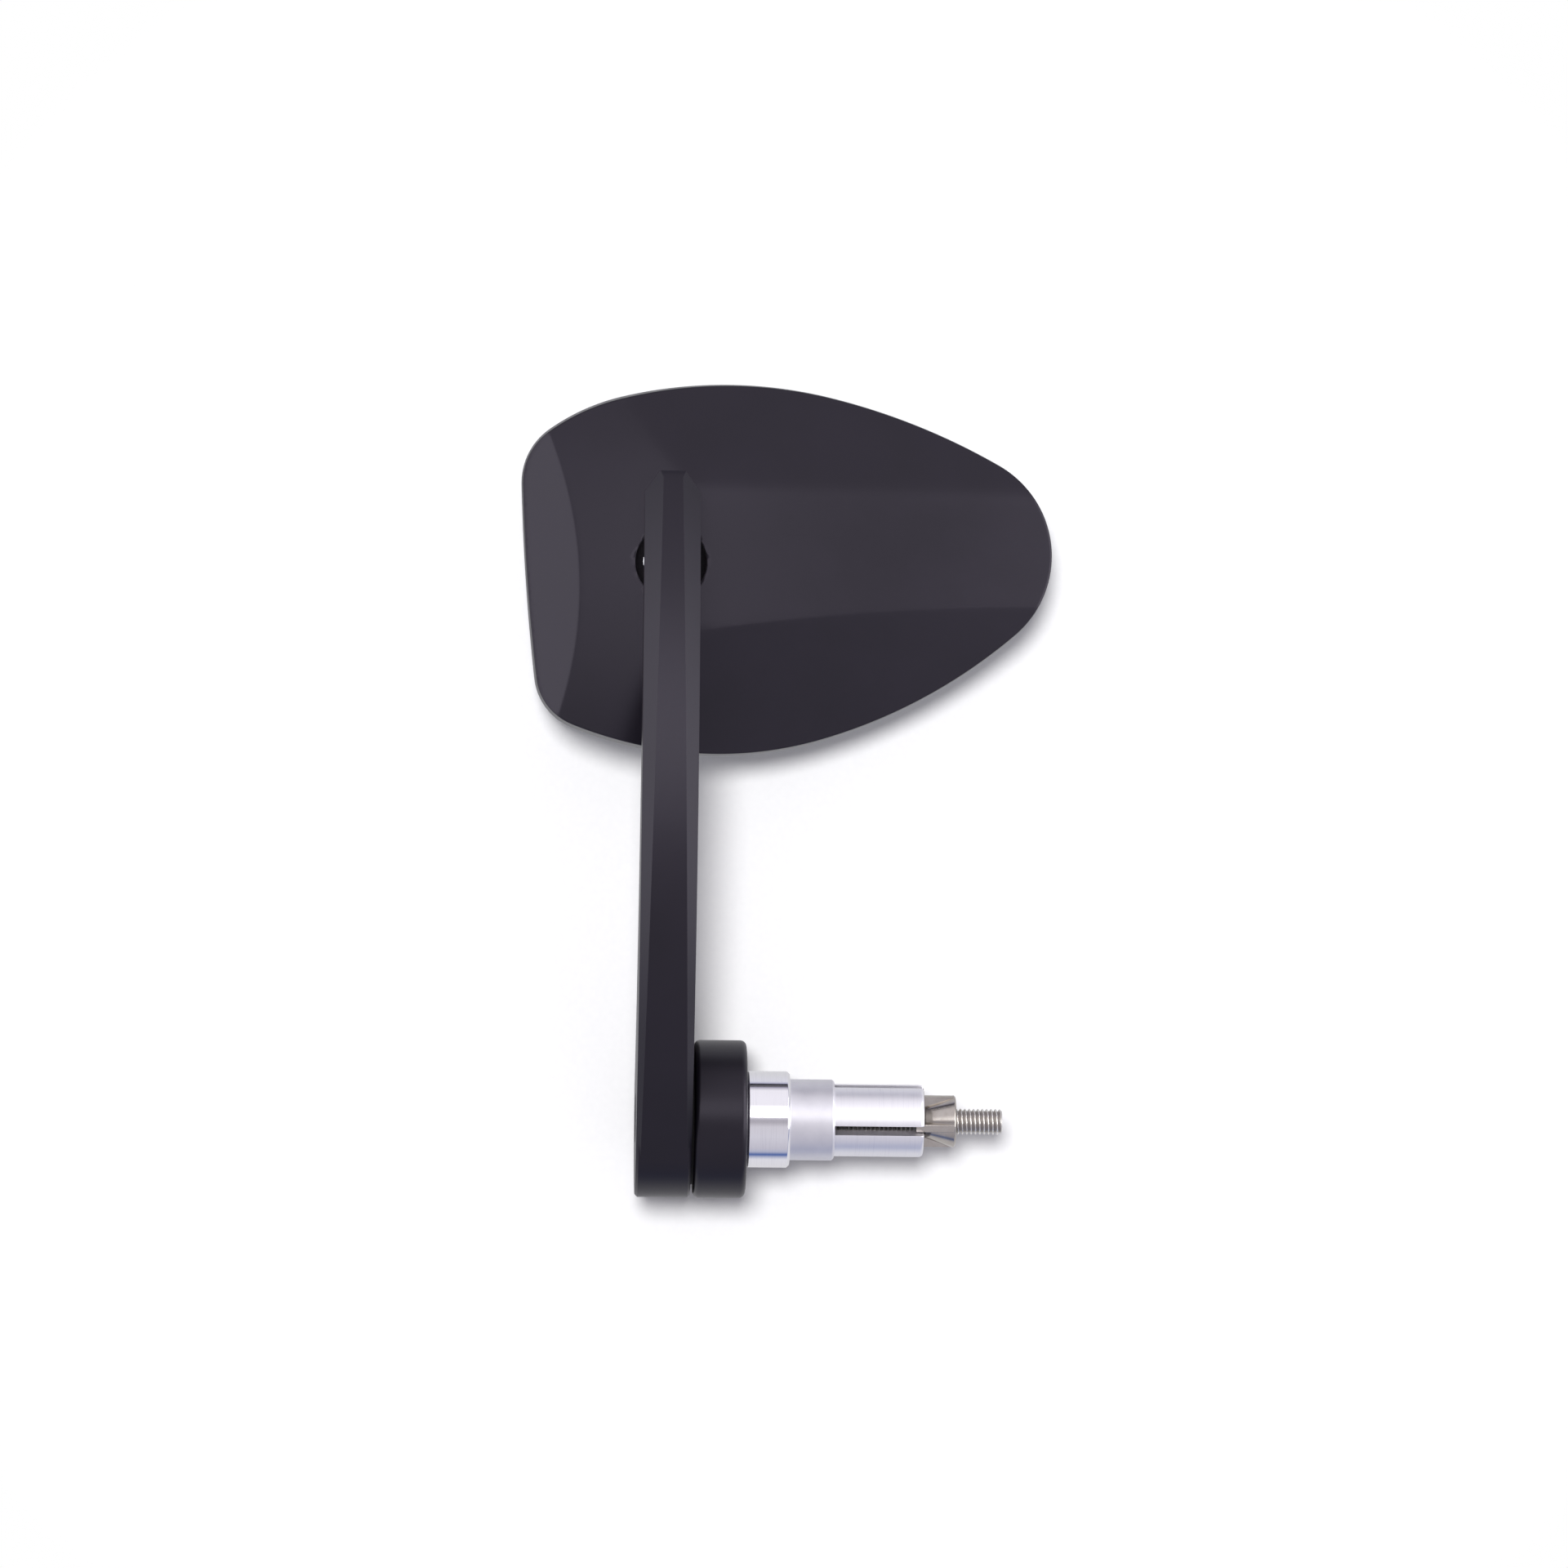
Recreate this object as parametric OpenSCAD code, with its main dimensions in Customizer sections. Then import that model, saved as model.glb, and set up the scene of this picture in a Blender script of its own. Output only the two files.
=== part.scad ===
// Bar end mirror: a faceted teardrop head on a ball stud, a bowed arm,
// and an expanding plug that clamps inside the end of a handlebar.
// X runs into the handlebar, Y away from the back of the head, Z is up.
// The origin is on the bar axis, where the collar meets the bar's end.

/* [Bar plug] */
// Outer diameter of the collar that meets the bar's end
collar_d = 22; // [20:0.5:26]
// Length of the collar
collar_len = 10; // [6:0.5:16]
// Diameter of the ring that centres the plug in the bar
ring_d = 18.5; // [17.5:0.1:20]
// Length of the centring ring
ring_len = 10.2; // [6:0.2:14]
// Diameter of the slotted sleeve
sleeve_d = 16.5; // [15:0.1:17]
// Length of the sleeve beyond the collar
sleeve_len = 30.7; // [24:0.1:45]
// Bore of the slotted sleeve
sleeve_bore = 8.8; // [8:0.1:9.4]
// Number of slots in the sleeve, and of fins on the cone
slot_count = 4; // [3:1:6]
// Width of one slot
slot_w = 2.1; // [1.2:0.1:3]
// Angle of the front slot below the horizontal
slot_dip = 13; // [0:1:45]

/* [Cone and bolt] */
// Large diameter of the expansion cone
cone_d = 12; // [11:0.1:13]
// Length of the cone
cone_len = 8; // [6:0.2:12]
// Distance between the sleeve's end and the cone's small end
cone_inset = 0.7; // [0.2:0.1:1.5]
// Half angle of the cone
cone_angle = 17.5; // [12:0.5:20]
// Diameter of the clamp bolt
bolt_d = 6; // [5:0.5:6.5]
// Length of thread that stands out of the cone
bolt_out = 10.7; // [4:0.1:16]
// Diameter of the clamp bolt's head
bolt_head_d = 10; // [9:0.5:10.5]
// Height of the clamp bolt's head
bolt_head_len = 6; // [4:0.5:6]

/* [End disc] */
// Diameter of the end disc
disc_d = 36; // [32:0.5:44]
// Thickness of the end disc
disc_len = 12; // [8:0.5:18]
// Edge radius of the end disc
disc_round = 1.4; // [0.6:0.1:3]
// Diameter of the friction washer
washer_d = 30; // [24:1:32]
// Thickness of the friction washer
washer_len = 0.6; // [0.4:0.1:1.2]

/* [Arm] */
// Width of the arm
arm_w = 12.6; // [12:0.2:18]
// Diameter of the eye at the arm's lower end
eye_d = 36; // [32:0.5:40]
// Height of the arm's top above the bar axis
arm_top = 147.4; // [142:0.2:156]
// Radius of the arm's bowed front face
bow_r = 170; // [165:0.5:176]
// Height of the middle of the bow
bow_z = 76; // [70:0.5:82]
// Height of the middle of the back face
back_z = 105; // [98:0.5:112]
// Place of the flat seat at the arm's top, behind the bar axis
seat_y = -18; // [-19:0.1:-17]
// Largest front chamfer, at the arm's middle height
arm_chamfer = 2.7; // [1.6:0.1:3.2]

/* [Ball stud] */
// Diameter of the ball
ball_d = 10; // [9:0.1:10.4]
// Height of the ball above the bar axis
ball_z = 127; // [122:0.5:130]
// Place of the ball along the arm's depth
ball_y = -5; // [-6:0.1:-4]
// Diameter of the stem behind the ball
stem_d = 5.8; // [4:0.1:6]
// Width across flats of the hex collar
hex_af = 12; // [10:0.5:12.5]
// Thickness of the hex collar
hex_len = 2.6; // [1.6:0.1:3]

/* [Mirror head] */
// Size of the whole head outline, 1 is 122 mm long
head_scale = 1; // [0.96:0.01:1.1]
// Thickness of the shell
shell_t = 2.2; // [1.6:0.1:3]
// Diameter of the round hole in the back
hole_d = 16.2; // [15.4:0.1:17]
// Thickness of the mirror glass
glass_t = 2; // [1.6:0.1:2.4]
// Radius of the convex glass
glass_r = 1200; // [800:10:2000]
// Thickness of the foam tape behind the glass
tape_t = 1; // [0.6:0.1:1.2]
// Width of the foam tape
tape_w = 5; // [3:0.5:6]

/* [Ball clamp] */
// Wall of the ball's liner
liner_t = 1.2; // [0.8:0.1:1.4]
// Wall of the pressure cup round its socket
cup_wall = 2; // [1.5:0.1:3]
// Wall between the cup's bore and the screws
boss_wall = 1.3; // [1:0.1:2]
// Metal outside the screws of the clamp plate
plate_rim = 1.9; // [1.2:0.1:3]
// Thickness of the clamp plate
plate_t = 1.5; // [1.2:0.1:1.8]
// Shank diameter of the clamp plate screws
screw_d = 2.5; // [2:0.1:2.6]
// Length of one screw
screw_len = 6; // [4:0.5:7]

/* [Hidden] */
$fn = 96;
e = 0.01;
gap = 0.3;
run_fit = 0.05;
black = [0.16, 0.15, 0.18];
steel = [0.62, 0.61, 0.60];
bright = [0.86, 0.87, 0.89];
nylon = [0.82, 0.81, 0.76];

disc_x = -collar_len - disc_len;
arm_x1 = disc_x - washer_len;
arm_x0 = arm_x1 - arm_w;
arm_x = arm_x1 - arm_w / 2;
arm_edge = 0.6;
back_chamfer = 1.5;
eye_r = eye_d / 2;
// Both faces of the arm run into the round eye.
bow_y = sqrt(pow(bow_r - eye_r, 2) - bow_z * bow_z);
back_r = (seat_y * seat_y + back_z * back_z - eye_r * eye_r) / 2 / (eye_r - seat_y);
back_y = seat_y + back_r;
bow_end = -eye_r * [-bow_y, bow_z] / (bow_r - eye_r);
back_end = eye_r * [-back_y, back_z] / (back_r + eye_r);
top_cut = [3.5, 4.8];
top_bevel = 0.8;
head_seat = arm_x0 + bolt_head_len + 0.4;
washer_t = 1;
bolt_end = sleeve_len - cone_inset + cone_len + bolt_out;
cone_x = sleeve_len - cone_inset;
cone_small = cone_d / 2 - cone_len * tan(cone_angle);
fin_w = slot_w - 0.3;
fin_key = 1.2;
slot_start = min(8, ring_len - 2);

ball_h = 11;
ball_r = ball_d / 2;
socket_r = ball_r + gap + liner_t + gap;
cup_r = socket_r + cup_wall;
screw_ring = cup_r + run_fit + boss_wall + screw_d / 2;
boss_r = screw_ring + screw_d / 2 + plate_rim;
plate_h = 3.4;
boss_h = plate_h + plate_t;
spring_t = 0.35;
cup_h = boss_h + 2 * spring_t;
glass_mid = [27 * head_scale, -1.5 * head_scale];
glass_front = -0.5;
hex_bevel = 0.2;
hex_round = 0.6;
neck_h = 0.64 * ball_r;
rim_t = 1.3;

// The outline is a chain of tangent arcs: the angle where each starts, and its radius.
// The two radii given as 0 are worked out so that the chain closes.
arc_from = [-49, 61, 77, 104, 126, 182, 187, 248, 287, 311];
arc_r = [24, 150, 0, 48, 15, 0, 13.5, 86, 122];
first_point = [79.4, -15.8] * head_scale;
function ray(a) = [cos(a), sin(a)];
function turn(i) = ray(arc_from[i + 1]) - ray(arc_from[i]);
function cross2(a, b) = a[0] * b[1] - a[1] * b[0];
function arc_sum(i) = i < 0 ? [0, 0] : arc_r[i] * turn(i) + arc_sum(i - 1);
open_end = -arc_sum(len(arc_r) - 1);
top_r = cross2(open_end, turn(5)) / cross2(turn(2), turn(5));
side_r = cross2(turn(2), open_end) / cross2(turn(2), turn(5));
function arc_size(i) = head_scale * (i == 2 ? top_r : i == 5 ? side_r : arc_r[i]);
function arc_start(i, t) = i == 0 ? first_point - t * ray(arc_from[0])
    : arc_start(i - 1, t) + (arc_size(i - 1) - t) * turn(i - 1);
function arc_points(i, t) = let (
        r = arc_size(i) - t,
        steps = ceil((arc_from[i + 1] - arc_from[i]) / 4),
        centre = arc_start(i, t) - r * ray(arc_from[i])
    ) [for (k = [0:steps - 1])
        centre + r * ray(arc_from[i] + (arc_from[i + 1] - arc_from[i]) * k / steps)];

// Each facet of the head's back: height over the ball, slope along the head, slope up it.
facet_right = [19, -0.145, 0];
facet_top = [27.1, -0.145, -0.45];
facet_bottom = [24.3, -0.174, 0.32];
facet_left = [28.5, 0.7, 0];
dome_r = 192;
dome_z = -7;
dome_slope = 0.24;
top_blend = 30;

module head_outline(t) {
    polygon([for (i = [0:len(arc_r) - 1]) each arc_points(i, t)]);
}

module under_plane(f, drop) {
    n = [-f[1], -f[2], 1];
    translate([0, 0, f[0] - drop * norm(n)])
        rotate(a = acos(1 / norm(n)), v = [-n[1], n[0], 0.000001])
            translate([-200, -200, -120])
                cube([400, 400, 120]);
}

module under_dome(drop) {
    translate([0, dome_z, facet_right[0]])
        rotate([0, -atan(dome_slope), 0])
            translate([-200, 0, -dome_r])
                rotate([0, 90, 0])
                    cylinder(r = dome_r - drop, h = 400, $fn = 360);
}

// Takes the corner off the edge between the right and the top facets.
module top_edge_cut(drop) {
    a = [-facet_right[1], -facet_right[2], 1];
    b = [-facet_top[1], -facet_top[2], 1];
    edge_z = (facet_top[0] - drop * norm(b) - facet_right[0] + drop * norm(a)) / -facet_top[2];
    half = acos(a * b / norm(a) / norm(b)) / 2;
    r = top_blend - drop;
    w = r * sin(half) - 0.3;
    translate([0, edge_z, facet_right[0] - drop * norm(a)])
        rotate([0, -atan(facet_right[1]), 0])
            rotate([-half, 0, 0])
                difference() {
                    translate([-150, -w, r * cos(half) - r / cos(half)])
                        cube([300, 2 * w, 20]);
                    translate([-151, 0, -r / cos(half)])
                        rotate([0, 90, 0])
                            cylinder(r = r, h = 302, $fn = 360);
                }
}

module head_form(t, drop, low) {
    difference() {
        intersection() {
            translate([0, 0, low])
                linear_extrude(40)
                    head_outline(t);
            under_plane(facet_right, drop);
            under_plane(facet_top, drop);
            under_plane(facet_bottom, drop);
            under_plane(facet_left, drop);
            under_dome(drop);
        }
        top_edge_cut(drop);
    }
}

// The part of a large ball behind one face of the convex glass.
module glass_sphere(r) {
    translate([glass_mid[0], glass_mid[1], 0])
        rotate_extrude($fn = 180)
            intersection() {
                translate([0, glass_front + glass_r])
                    circle(r = r, $fn = 720);
                translate([0, -5])
                    square([110, 35]);
            }
}

// Puts a shape drawn about the ball, with its height towards the arm, in its place.
module at_head() {
    translate([arm_x, ball_y + ball_h, ball_z])
        rotate([90, 0, 0])
            children();
}

module at_screw(i) {
    rotate([0, 0, 45 + 90 * i])
        translate([screw_ring, 0, 0])
            children();
}

module along_x(x) {
    translate([x, 0, 0])
        rotate([0, 90, 0])
            children();
}

module turned_x(points) {
    rotate([0, 90, 0])
        rotate_extrude()
            polygon([for (p = points) [p[1], p[0]]]);
}

module expansion_sleeve() {
    c = collar_d / 2;
    s = sleeve_d / 2;
    color(bright)
        difference() {
            turned_x([[-collar_len, bolt_d / 2 + 0.4], [-collar_len, c - 0.6],
                [-collar_len + 0.6, c], [-0.6, c], [0, c - 0.6], [0, s],
                [sleeve_len - 1, s], [sleeve_len - 0.3, s - 0.3], [sleeve_len, s - 1],
                [sleeve_len, sleeve_bore / 2], [2, sleeve_bore / 2], [0, bolt_d / 2 + 0.4]]);
            for (i = [0:slot_count - 1])
                rotate([90 + slot_dip + i * 360 / slot_count, 0, 0])
                    translate([slot_start, -slot_w / 2, 0])
                        cube([sleeve_len, slot_w, sleeve_d]);
        }
}

module centring_ring() {
    r = ring_d / 2;
    b = sleeve_d / 2 + run_fit;
    color(steel)
        turned_x([[0, b], [0, r], [ring_len - 0.5, r], [ring_len, r - 0.5], [ring_len, b]]);
}

module expansion_cone() {
    color([0.66, 0.62, 0.57])
        difference() {
            union() {
                turned_x([[cone_x, 0], [cone_x, cone_small],
                    [cone_x + cone_len - 0.4, cone_d / 2],
                    [cone_x + cone_len, cone_d / 2 - 0.4], [cone_x + cone_len, 0]]);
                intersection() {
                    turned_x([[cone_x - fin_key, 0], [cone_x - fin_key, cone_d / 2],
                        [cone_x + cone_len - 0.4, cone_d / 2], [cone_x + cone_len - 0.4, 0]]);
                    for (i = [0:slot_count - 1])
                        rotate([90 + slot_dip + i * 360 / slot_count, 0, 0])
                            translate([0, -fin_w / 2, 0])
                                cube([bolt_end, fin_w, cone_d]);
                }
            }
            turned_x([[0, 0], [0, bolt_d / 2 + run_fit], [bolt_end, bolt_d / 2 + run_fit],
                [bolt_end, 0]]);
        }
}

module clamp_bolt() {
    r = bolt_d / 2;
    k = bolt_head_d / 2;
    x0 = head_seat - bolt_head_len;
    color(steel)
        difference() {
            turned_x([[x0, 0], [x0, k - 0.5], [x0 + 0.5, k], [head_seat, k], [head_seat, r],
                [bolt_end - 0.6, r], [bolt_end, r - 0.6], [bolt_end, 0]]);
            along_x(x0 - e)
                cylinder(d = 5 / cos(30), h = 3.5, $fn = 6);
        }
}

module bolt_washer() {
    color(steel)
        turned_x([[head_seat, bolt_d / 2 + gap], [head_seat, bolt_head_d / 2 + 0.4],
            [head_seat + washer_t, bolt_head_d / 2 + 0.4],
            [head_seat + washer_t, bolt_d / 2 + gap]]);
}

module end_disc() {
    r = disc_d / 2;
    color(black)
        rotate([0, 90, 0])
            rotate_extrude($fn = 180)
                difference() {
                    union() {
                        translate([0, disc_x + disc_round])
                            square([r, disc_len - 2 * disc_round]);
                        translate([0, disc_x])
                            square([r - disc_round, disc_len]);
                        for (x = [disc_x + disc_round, -collar_len - disc_round])
                            translate([r - disc_round, x])
                                circle(r = disc_round);
                    }
                    translate([-e, disc_x - 1])
                        square([bolt_d / 2 + 0.4 + e, disc_len + 2]);
                }
}

module friction_washer() {
    color([0.08, 0.08, 0.09])
        turned_x([[arm_x1, bolt_d / 2 + 0.4], [arm_x1, washer_d / 2], [disc_x, washer_d / 2],
            [disc_x, bolt_d / 2 + 0.4]]);
}

// The arm seen from its side, before its edges are cut.
module arm_side() {
    front = sqrt(bow_r * bow_r - pow(arm_top - bow_z, 2)) - bow_y;
    difference() {
        intersection() {
            translate([-bow_y, bow_z])
                circle(r = bow_r, $fn = 360);
            polygon([[0, 0], bow_end, [60, bow_end[1]], [60, arm_top],
                [back_end[0], arm_top], back_end]);
        }
        translate([-back_y, back_z])
            circle(r = back_r, $fn = 360);
        translate([-80, back_z])
            square([80 - seat_y, 80]);
        translate([front, arm_top])
            polygon([[-top_bevel, 0], [3, -3 - top_bevel], [3, 1], [-top_bevel, 1]]);
    }
}

module arm() {
    w = arm_w / 2;
    c = bow_r - arm_chamfer;
    seat_x = head_seat + washer_t;
    color(black)
        difference() {
            union() {
                turned_x([[arm_x0, 0], [arm_x0, eye_r - arm_edge], [arm_x0 + arm_edge, eye_r],
                    [arm_x1 - arm_edge, eye_r], [arm_x1, eye_r - arm_edge], [arm_x1, 0]]);
                intersection() {
                    translate([arm_x0, 0, 0])
                        rotate([90, 0, 90])
                            mirror([1, 0, 0])
                                linear_extrude(arm_w)
                                    arm_side();
                    translate([0, bow_y, bow_z - 3.4])
                        turned_x([[arm_x0, 0], [arm_x0, c], [arm_x, c + w], [arm_x1, c],
                            [arm_x1, 0]]);
                }
            }
            translate([0, back_y, back_z])
                turned_x([[arm_x0 - 1, 0], [arm_x0 - 1, back_r + back_chamfer + 1],
                    [arm_x0 + back_chamfer, back_r], [arm_x0 + back_chamfer, 0]]);
            translate([0, back_y, back_z])
                turned_x([[arm_x1 + 1, 0], [arm_x1 + 1, back_r + back_chamfer + 1],
                    [arm_x1 - back_chamfer, back_r], [arm_x1 - back_chamfer, 0]]);
            for (s = [-1, 1])
                translate([arm_x, 0, arm_top])
                    rotate([90, 0, 0])
                        linear_extrude(100)
                            polygon([[s * (w - top_cut[0]), 0], [s * w, -top_cut[1]],
                                [s * (w + 2), -top_cut[1]], [s * (w + 2), 2],
                                [s * (w - top_cut[0]), 2]]);
            along_x(arm_x0 - e)
                cylinder(r = bolt_head_d / 2 + 0.8, h = seat_x - arm_x0 + e);
            along_x(arm_x0 - e)
                cylinder(r = bolt_d / 2 + 0.4, h = arm_w + 1);
            translate([arm_x, seat_y + e, ball_z])
                rotate([90, 0, 0])
                    cylinder(r = 3 + run_fit, h = 9.2);
        }
}

module ball_stud() {
    color(bright)
        translate([arm_x, ball_y, ball_z])
            rotate([90, 0, 0]) {
                sphere(r = ball_r);
                cylinder(d = stem_d, h = ball_y - seat_y);
                translate([0, 0, ball_y - seat_y - hex_len])
                    intersection() {
                        cylinder(d = hex_af / cos(30), h = hex_len, $fn = 6);
                        cylinder(r = hex_af / 2 + hex_round, h = hex_len);
                        cylinder(r1 = hex_af / 2 + hex_bevel,
                            r2 = hex_af / 2 + hex_bevel + 1.73 * hex_len, h = hex_len);
                    }
                translate([0, 0, ball_y - seat_y])
                    cylinder(r = 3, h = 9);
            }
}

// One half of the liner: a band of a hollow ball between two heights from its centre.
module liner(low, high) {
    color(nylon)
        at_head()
            translate([0, 0, ball_h])
                intersection() {
                    difference() {
                        sphere(r = ball_r + gap + liner_t);
                        sphere(r = ball_r + gap);
                    }
                    translate([0, 0, low])
                        cylinder(r = 2 * ball_d, h = high - low);
                }
}

module liner_rear() {
    liner(0.17 * ball_r, neck_h);
}

module liner_front() {
    liner(-0.96 * ball_r, -0.17 * ball_r);
}

module pressure_cup() {
    color(steel)
        at_head()
            difference() {
                translate([0, 0, cup_h])
                    cylinder(r = cup_r, h = ball_h - 0.4 - cup_h);
                translate([0, 0, ball_h])
                    sphere(r = socket_r);
            }
}

module cup_spring() {
    color(steel)
        at_head()
            rotate_extrude()
                polygon([[cup_r - 3.6, cup_h - spring_t], [cup_r - 3.6, cup_h],
                    [cup_r - 0.4, boss_h + spring_t], [cup_r - 0.4, boss_h]]);
}

module clamp_plate() {
    color(steel)
        at_head()
            difference() {
                translate([0, 0, plate_h])
                    cylinder(r = boss_r, h = plate_t);
                translate([0, 0, plate_h - 1])
                    cylinder(r = 3, h = plate_t + 2);
                for (i = [0:3])
                    at_screw(i) {
                        translate([0, 0, plate_h - 1])
                            cylinder(r = screw_d / 2 + run_fit, h = plate_t + 2);
                        translate([0, 0, plate_h - e])
                            cylinder(r1 = screw_d + run_fit, r2 = screw_d / 2 + run_fit,
                                h = screw_d / 2);
                    }
            }
}

module clamp_screw(i) {
    color([0.25, 0.25, 0.27])
        at_head()
            at_screw(i)
                translate([0, 0, plate_h])
                    difference() {
                        union() {
                            cylinder(r1 = screw_d, r2 = screw_d / 2, h = screw_d / 2);
                            cylinder(d = screw_d, h = screw_len);
                        }
                        translate([0, 0, -e])
                            cylinder(d = 1.5 / cos(30), h = 0.9, $fn = 6);
                    }
}

module clamp_screw_1() {
    clamp_screw(0);
}

module clamp_screw_2() {
    clamp_screw(1);
}

module clamp_screw_3() {
    clamp_screw(2);
}

module clamp_screw_4() {
    clamp_screw(3);
}

module mirror_housing() {
    color(black)
        at_head()
            difference() {
                head_form(0, 0, 0);
                difference() {
                    head_form(rim_t + tape_w, shell_t, -1);
                    translate([0, 0, boss_h])
                        cylinder(r = boss_r, h = 30);
                }
                intersection() {
                    translate([0, 0, -2])
                        linear_extrude(20)
                            head_outline(rim_t);
                    difference() {
                        translate([-100, -100, -3])
                            cube([300, 200, 20]);
                        glass_sphere(glass_r - glass_t - tape_t);
                    }
                }
                translate([0, 0, ball_h])
                    sphere(r = socket_r);
                translate([0, 0, boss_h - 2])
                    cylinder(r = cup_r + run_fit, h = ball_h - boss_h + 2);
                translate([0, 0, ball_h + neck_h])
                    cylinder(r = hole_d / 2, h = 12);
                for (i = [0:3])
                    at_screw(i)
                        translate([0, 0, boss_h - 1])
                            cylinder(r = screw_d / 2 + run_fit, h = screw_len - plate_t + 1.6);
            }
}

module foam_tape() {
    color([0.1, 0.1, 0.11])
        at_head()
            intersection() {
                translate([0, 0, -2])
                    linear_extrude(20)
                        difference() {
                            head_outline(rim_t + 0.4);
                            head_outline(rim_t + tape_w);
                        }
                difference() {
                    glass_sphere(glass_r - glass_t);
                    glass_sphere(glass_r - glass_t - tape_t);
                }
            }
}

module mirror_glass() {
    color([0.75, 0.8, 0.85])
        at_head()
            intersection() {
                translate([0, 0, -2])
                    linear_extrude(20)
                        head_outline(rim_t + 0.2);
                difference() {
                    glass_sphere(glass_r);
                    glass_sphere(glass_r - glass_t);
                }
            }
}

expansion_sleeve();
centring_ring();
expansion_cone();
clamp_bolt();
bolt_washer();
end_disc();
friction_washer();
arm();
ball_stud();
liner_rear();
liner_front();
pressure_cup();
cup_spring();
clamp_plate();
clamp_screw_1();
clamp_screw_2();
clamp_screw_3();
clamp_screw_4();
mirror_housing();
foam_tape();
mirror_glass();
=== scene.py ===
import math

import bpy
import bmesh
from mathutils import Matrix, Vector
from mathutils.geometry import delaunay_2d_cdt


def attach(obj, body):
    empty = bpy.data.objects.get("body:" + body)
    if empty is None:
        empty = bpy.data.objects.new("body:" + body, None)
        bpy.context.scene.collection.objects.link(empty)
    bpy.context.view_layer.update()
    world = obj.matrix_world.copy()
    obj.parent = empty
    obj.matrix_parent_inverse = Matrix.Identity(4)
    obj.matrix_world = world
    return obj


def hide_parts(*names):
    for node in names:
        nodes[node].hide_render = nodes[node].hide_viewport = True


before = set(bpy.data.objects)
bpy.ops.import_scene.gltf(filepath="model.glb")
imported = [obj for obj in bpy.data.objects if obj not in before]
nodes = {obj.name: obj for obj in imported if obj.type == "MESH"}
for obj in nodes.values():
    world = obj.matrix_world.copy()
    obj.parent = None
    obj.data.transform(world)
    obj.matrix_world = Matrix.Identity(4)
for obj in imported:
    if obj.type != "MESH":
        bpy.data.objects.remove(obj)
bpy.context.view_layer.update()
mm = 0.001
print("frame loaded with", len(nodes), "pieces")


# Shader and geometry maths
class Wire:
    def __init__(self, tree, socket, kind="value"):
        self.tree = tree
        self.socket = socket
        self.kind = kind  # "value" or "vector"; a colour is a vector here

    def add(self, nodeType, settings=None, values=None, output=0, kind="value"):
        node = self.tree.nodes.new(nodeType)
        for name, value in (settings or {}).items():
            if name == "stops":
                fillRamp(node.color_ramp, value)
            else:
                setattr(node, name, value)
        for key, value in (values or {}).items():
            for feed in value if isinstance(value, list) else [value]:  # a list feeds one socket
                if isinstance(feed, Wire):
                    self.tree.links.new(feed.socket, node.inputs[key])
                else:
                    node.inputs[key].default_value = feed
        return Wire(self.tree, node.outputs[output] if len(node.outputs) else None, kind)

    def work(self, operation, *terms):
        # a Math node, or a Vector Math node where one of the terms is a vector
        kind = "vector" if any(isinstance(t, Wire) and t.kind == "vector" for t in terms) else "value"
        nodeType = "ShaderNodeVectorMath" if kind == "vector" else "ShaderNodeMath"
        return self.add(nodeType, {"operation": operation}, dict(enumerate(terms)), kind=kind)

    def __add__(self, other):
        return self.work("ADD", self, other)

    def __radd__(self, other):
        return self.work("ADD", other, self)

    def __sub__(self, other):
        return self.work("SUBTRACT", self, other)

    def __rsub__(self, other):
        return self.work("SUBTRACT", other, self)

    def __mul__(self, other):
        return self.work("MULTIPLY", self, other)

    def __rmul__(self, other):
        return self.work("MULTIPLY", other, self)

    def __truediv__(self, other):
        return self.work("DIVIDE", self, other)

    def __rtruediv__(self, other):
        return self.work("DIVIDE", other, self)

    def __neg__(self):
        return self.work("MULTIPLY", self, -1.0)

    def parts(self):
        split = self.add("ShaderNodeSeparateXYZ", {}, {0: self})
        return [Wire(self.tree, s) for s in split.socket.node.outputs]

    def fraction(self):
        return self.work("FRACT", self)

    def size(self):
        return self.work("ABSOLUTE", self)

    def atMost(self, other):
        return self.work("MINIMUM", self, other)

    def atLeast(self, other):
        return self.work("MAXIMUM", self, other)

    def step(self, low, high, atLow=0.0, atHigh=1.0):
        return self.add("ShaderNodeMapRange", {"clamp": True},
                        {0: self, 1: low, 2: high, 3: atLow, 4: atHigh})

    def noise(self, scale, detail=2.0, roughness=0.5):
        return self.add("ShaderNodeTexNoise", {},
                        {"Vector": self, "Scale": scale, "Detail": detail, "Roughness": roughness})


def fillRamp(ramp, stops):
    while len(ramp.elements) > 1:
        ramp.elements.remove(ramp.elements[-1])
    ramp.elements[0].position, ramp.elements[0].color = stops[0]
    for place, colour in stops[1:]:
        ramp.elements.new(place).color = colour


def blendColour(factor, first, second):
    # first where factor is 0, second where it is 1; 6, 7 and 2 are the Mix node's colour sockets
    return factor.add("ShaderNodeMix", {"data_type": "RGBA"},
                      {0: factor, 6: first, 7: second}, output=2, kind="vector")


def emptyTree(owner):
    owner.use_nodes = True
    owner.node_tree.nodes.clear()
    return Wire(owner.node_tree, None)


def newFinish(name):
    material = bpy.data.materials.new(name)
    return material, emptyTree(material).add("ShaderNodeTexCoord", output="Object", kind="vector")


def finishWith(material, place, values):
    shader = place.add("ShaderNodeBsdfPrincipled", {}, values)
    place.add("ShaderNodeOutputMaterial", {}, {"Surface": shader})
    return material


def bump(place, height, depth, strength=1.0):
    return place.add("ShaderNodeBump", {}, {"Strength": strength, "Distance": depth, "Height": height},
                     kind="vector")


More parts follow.
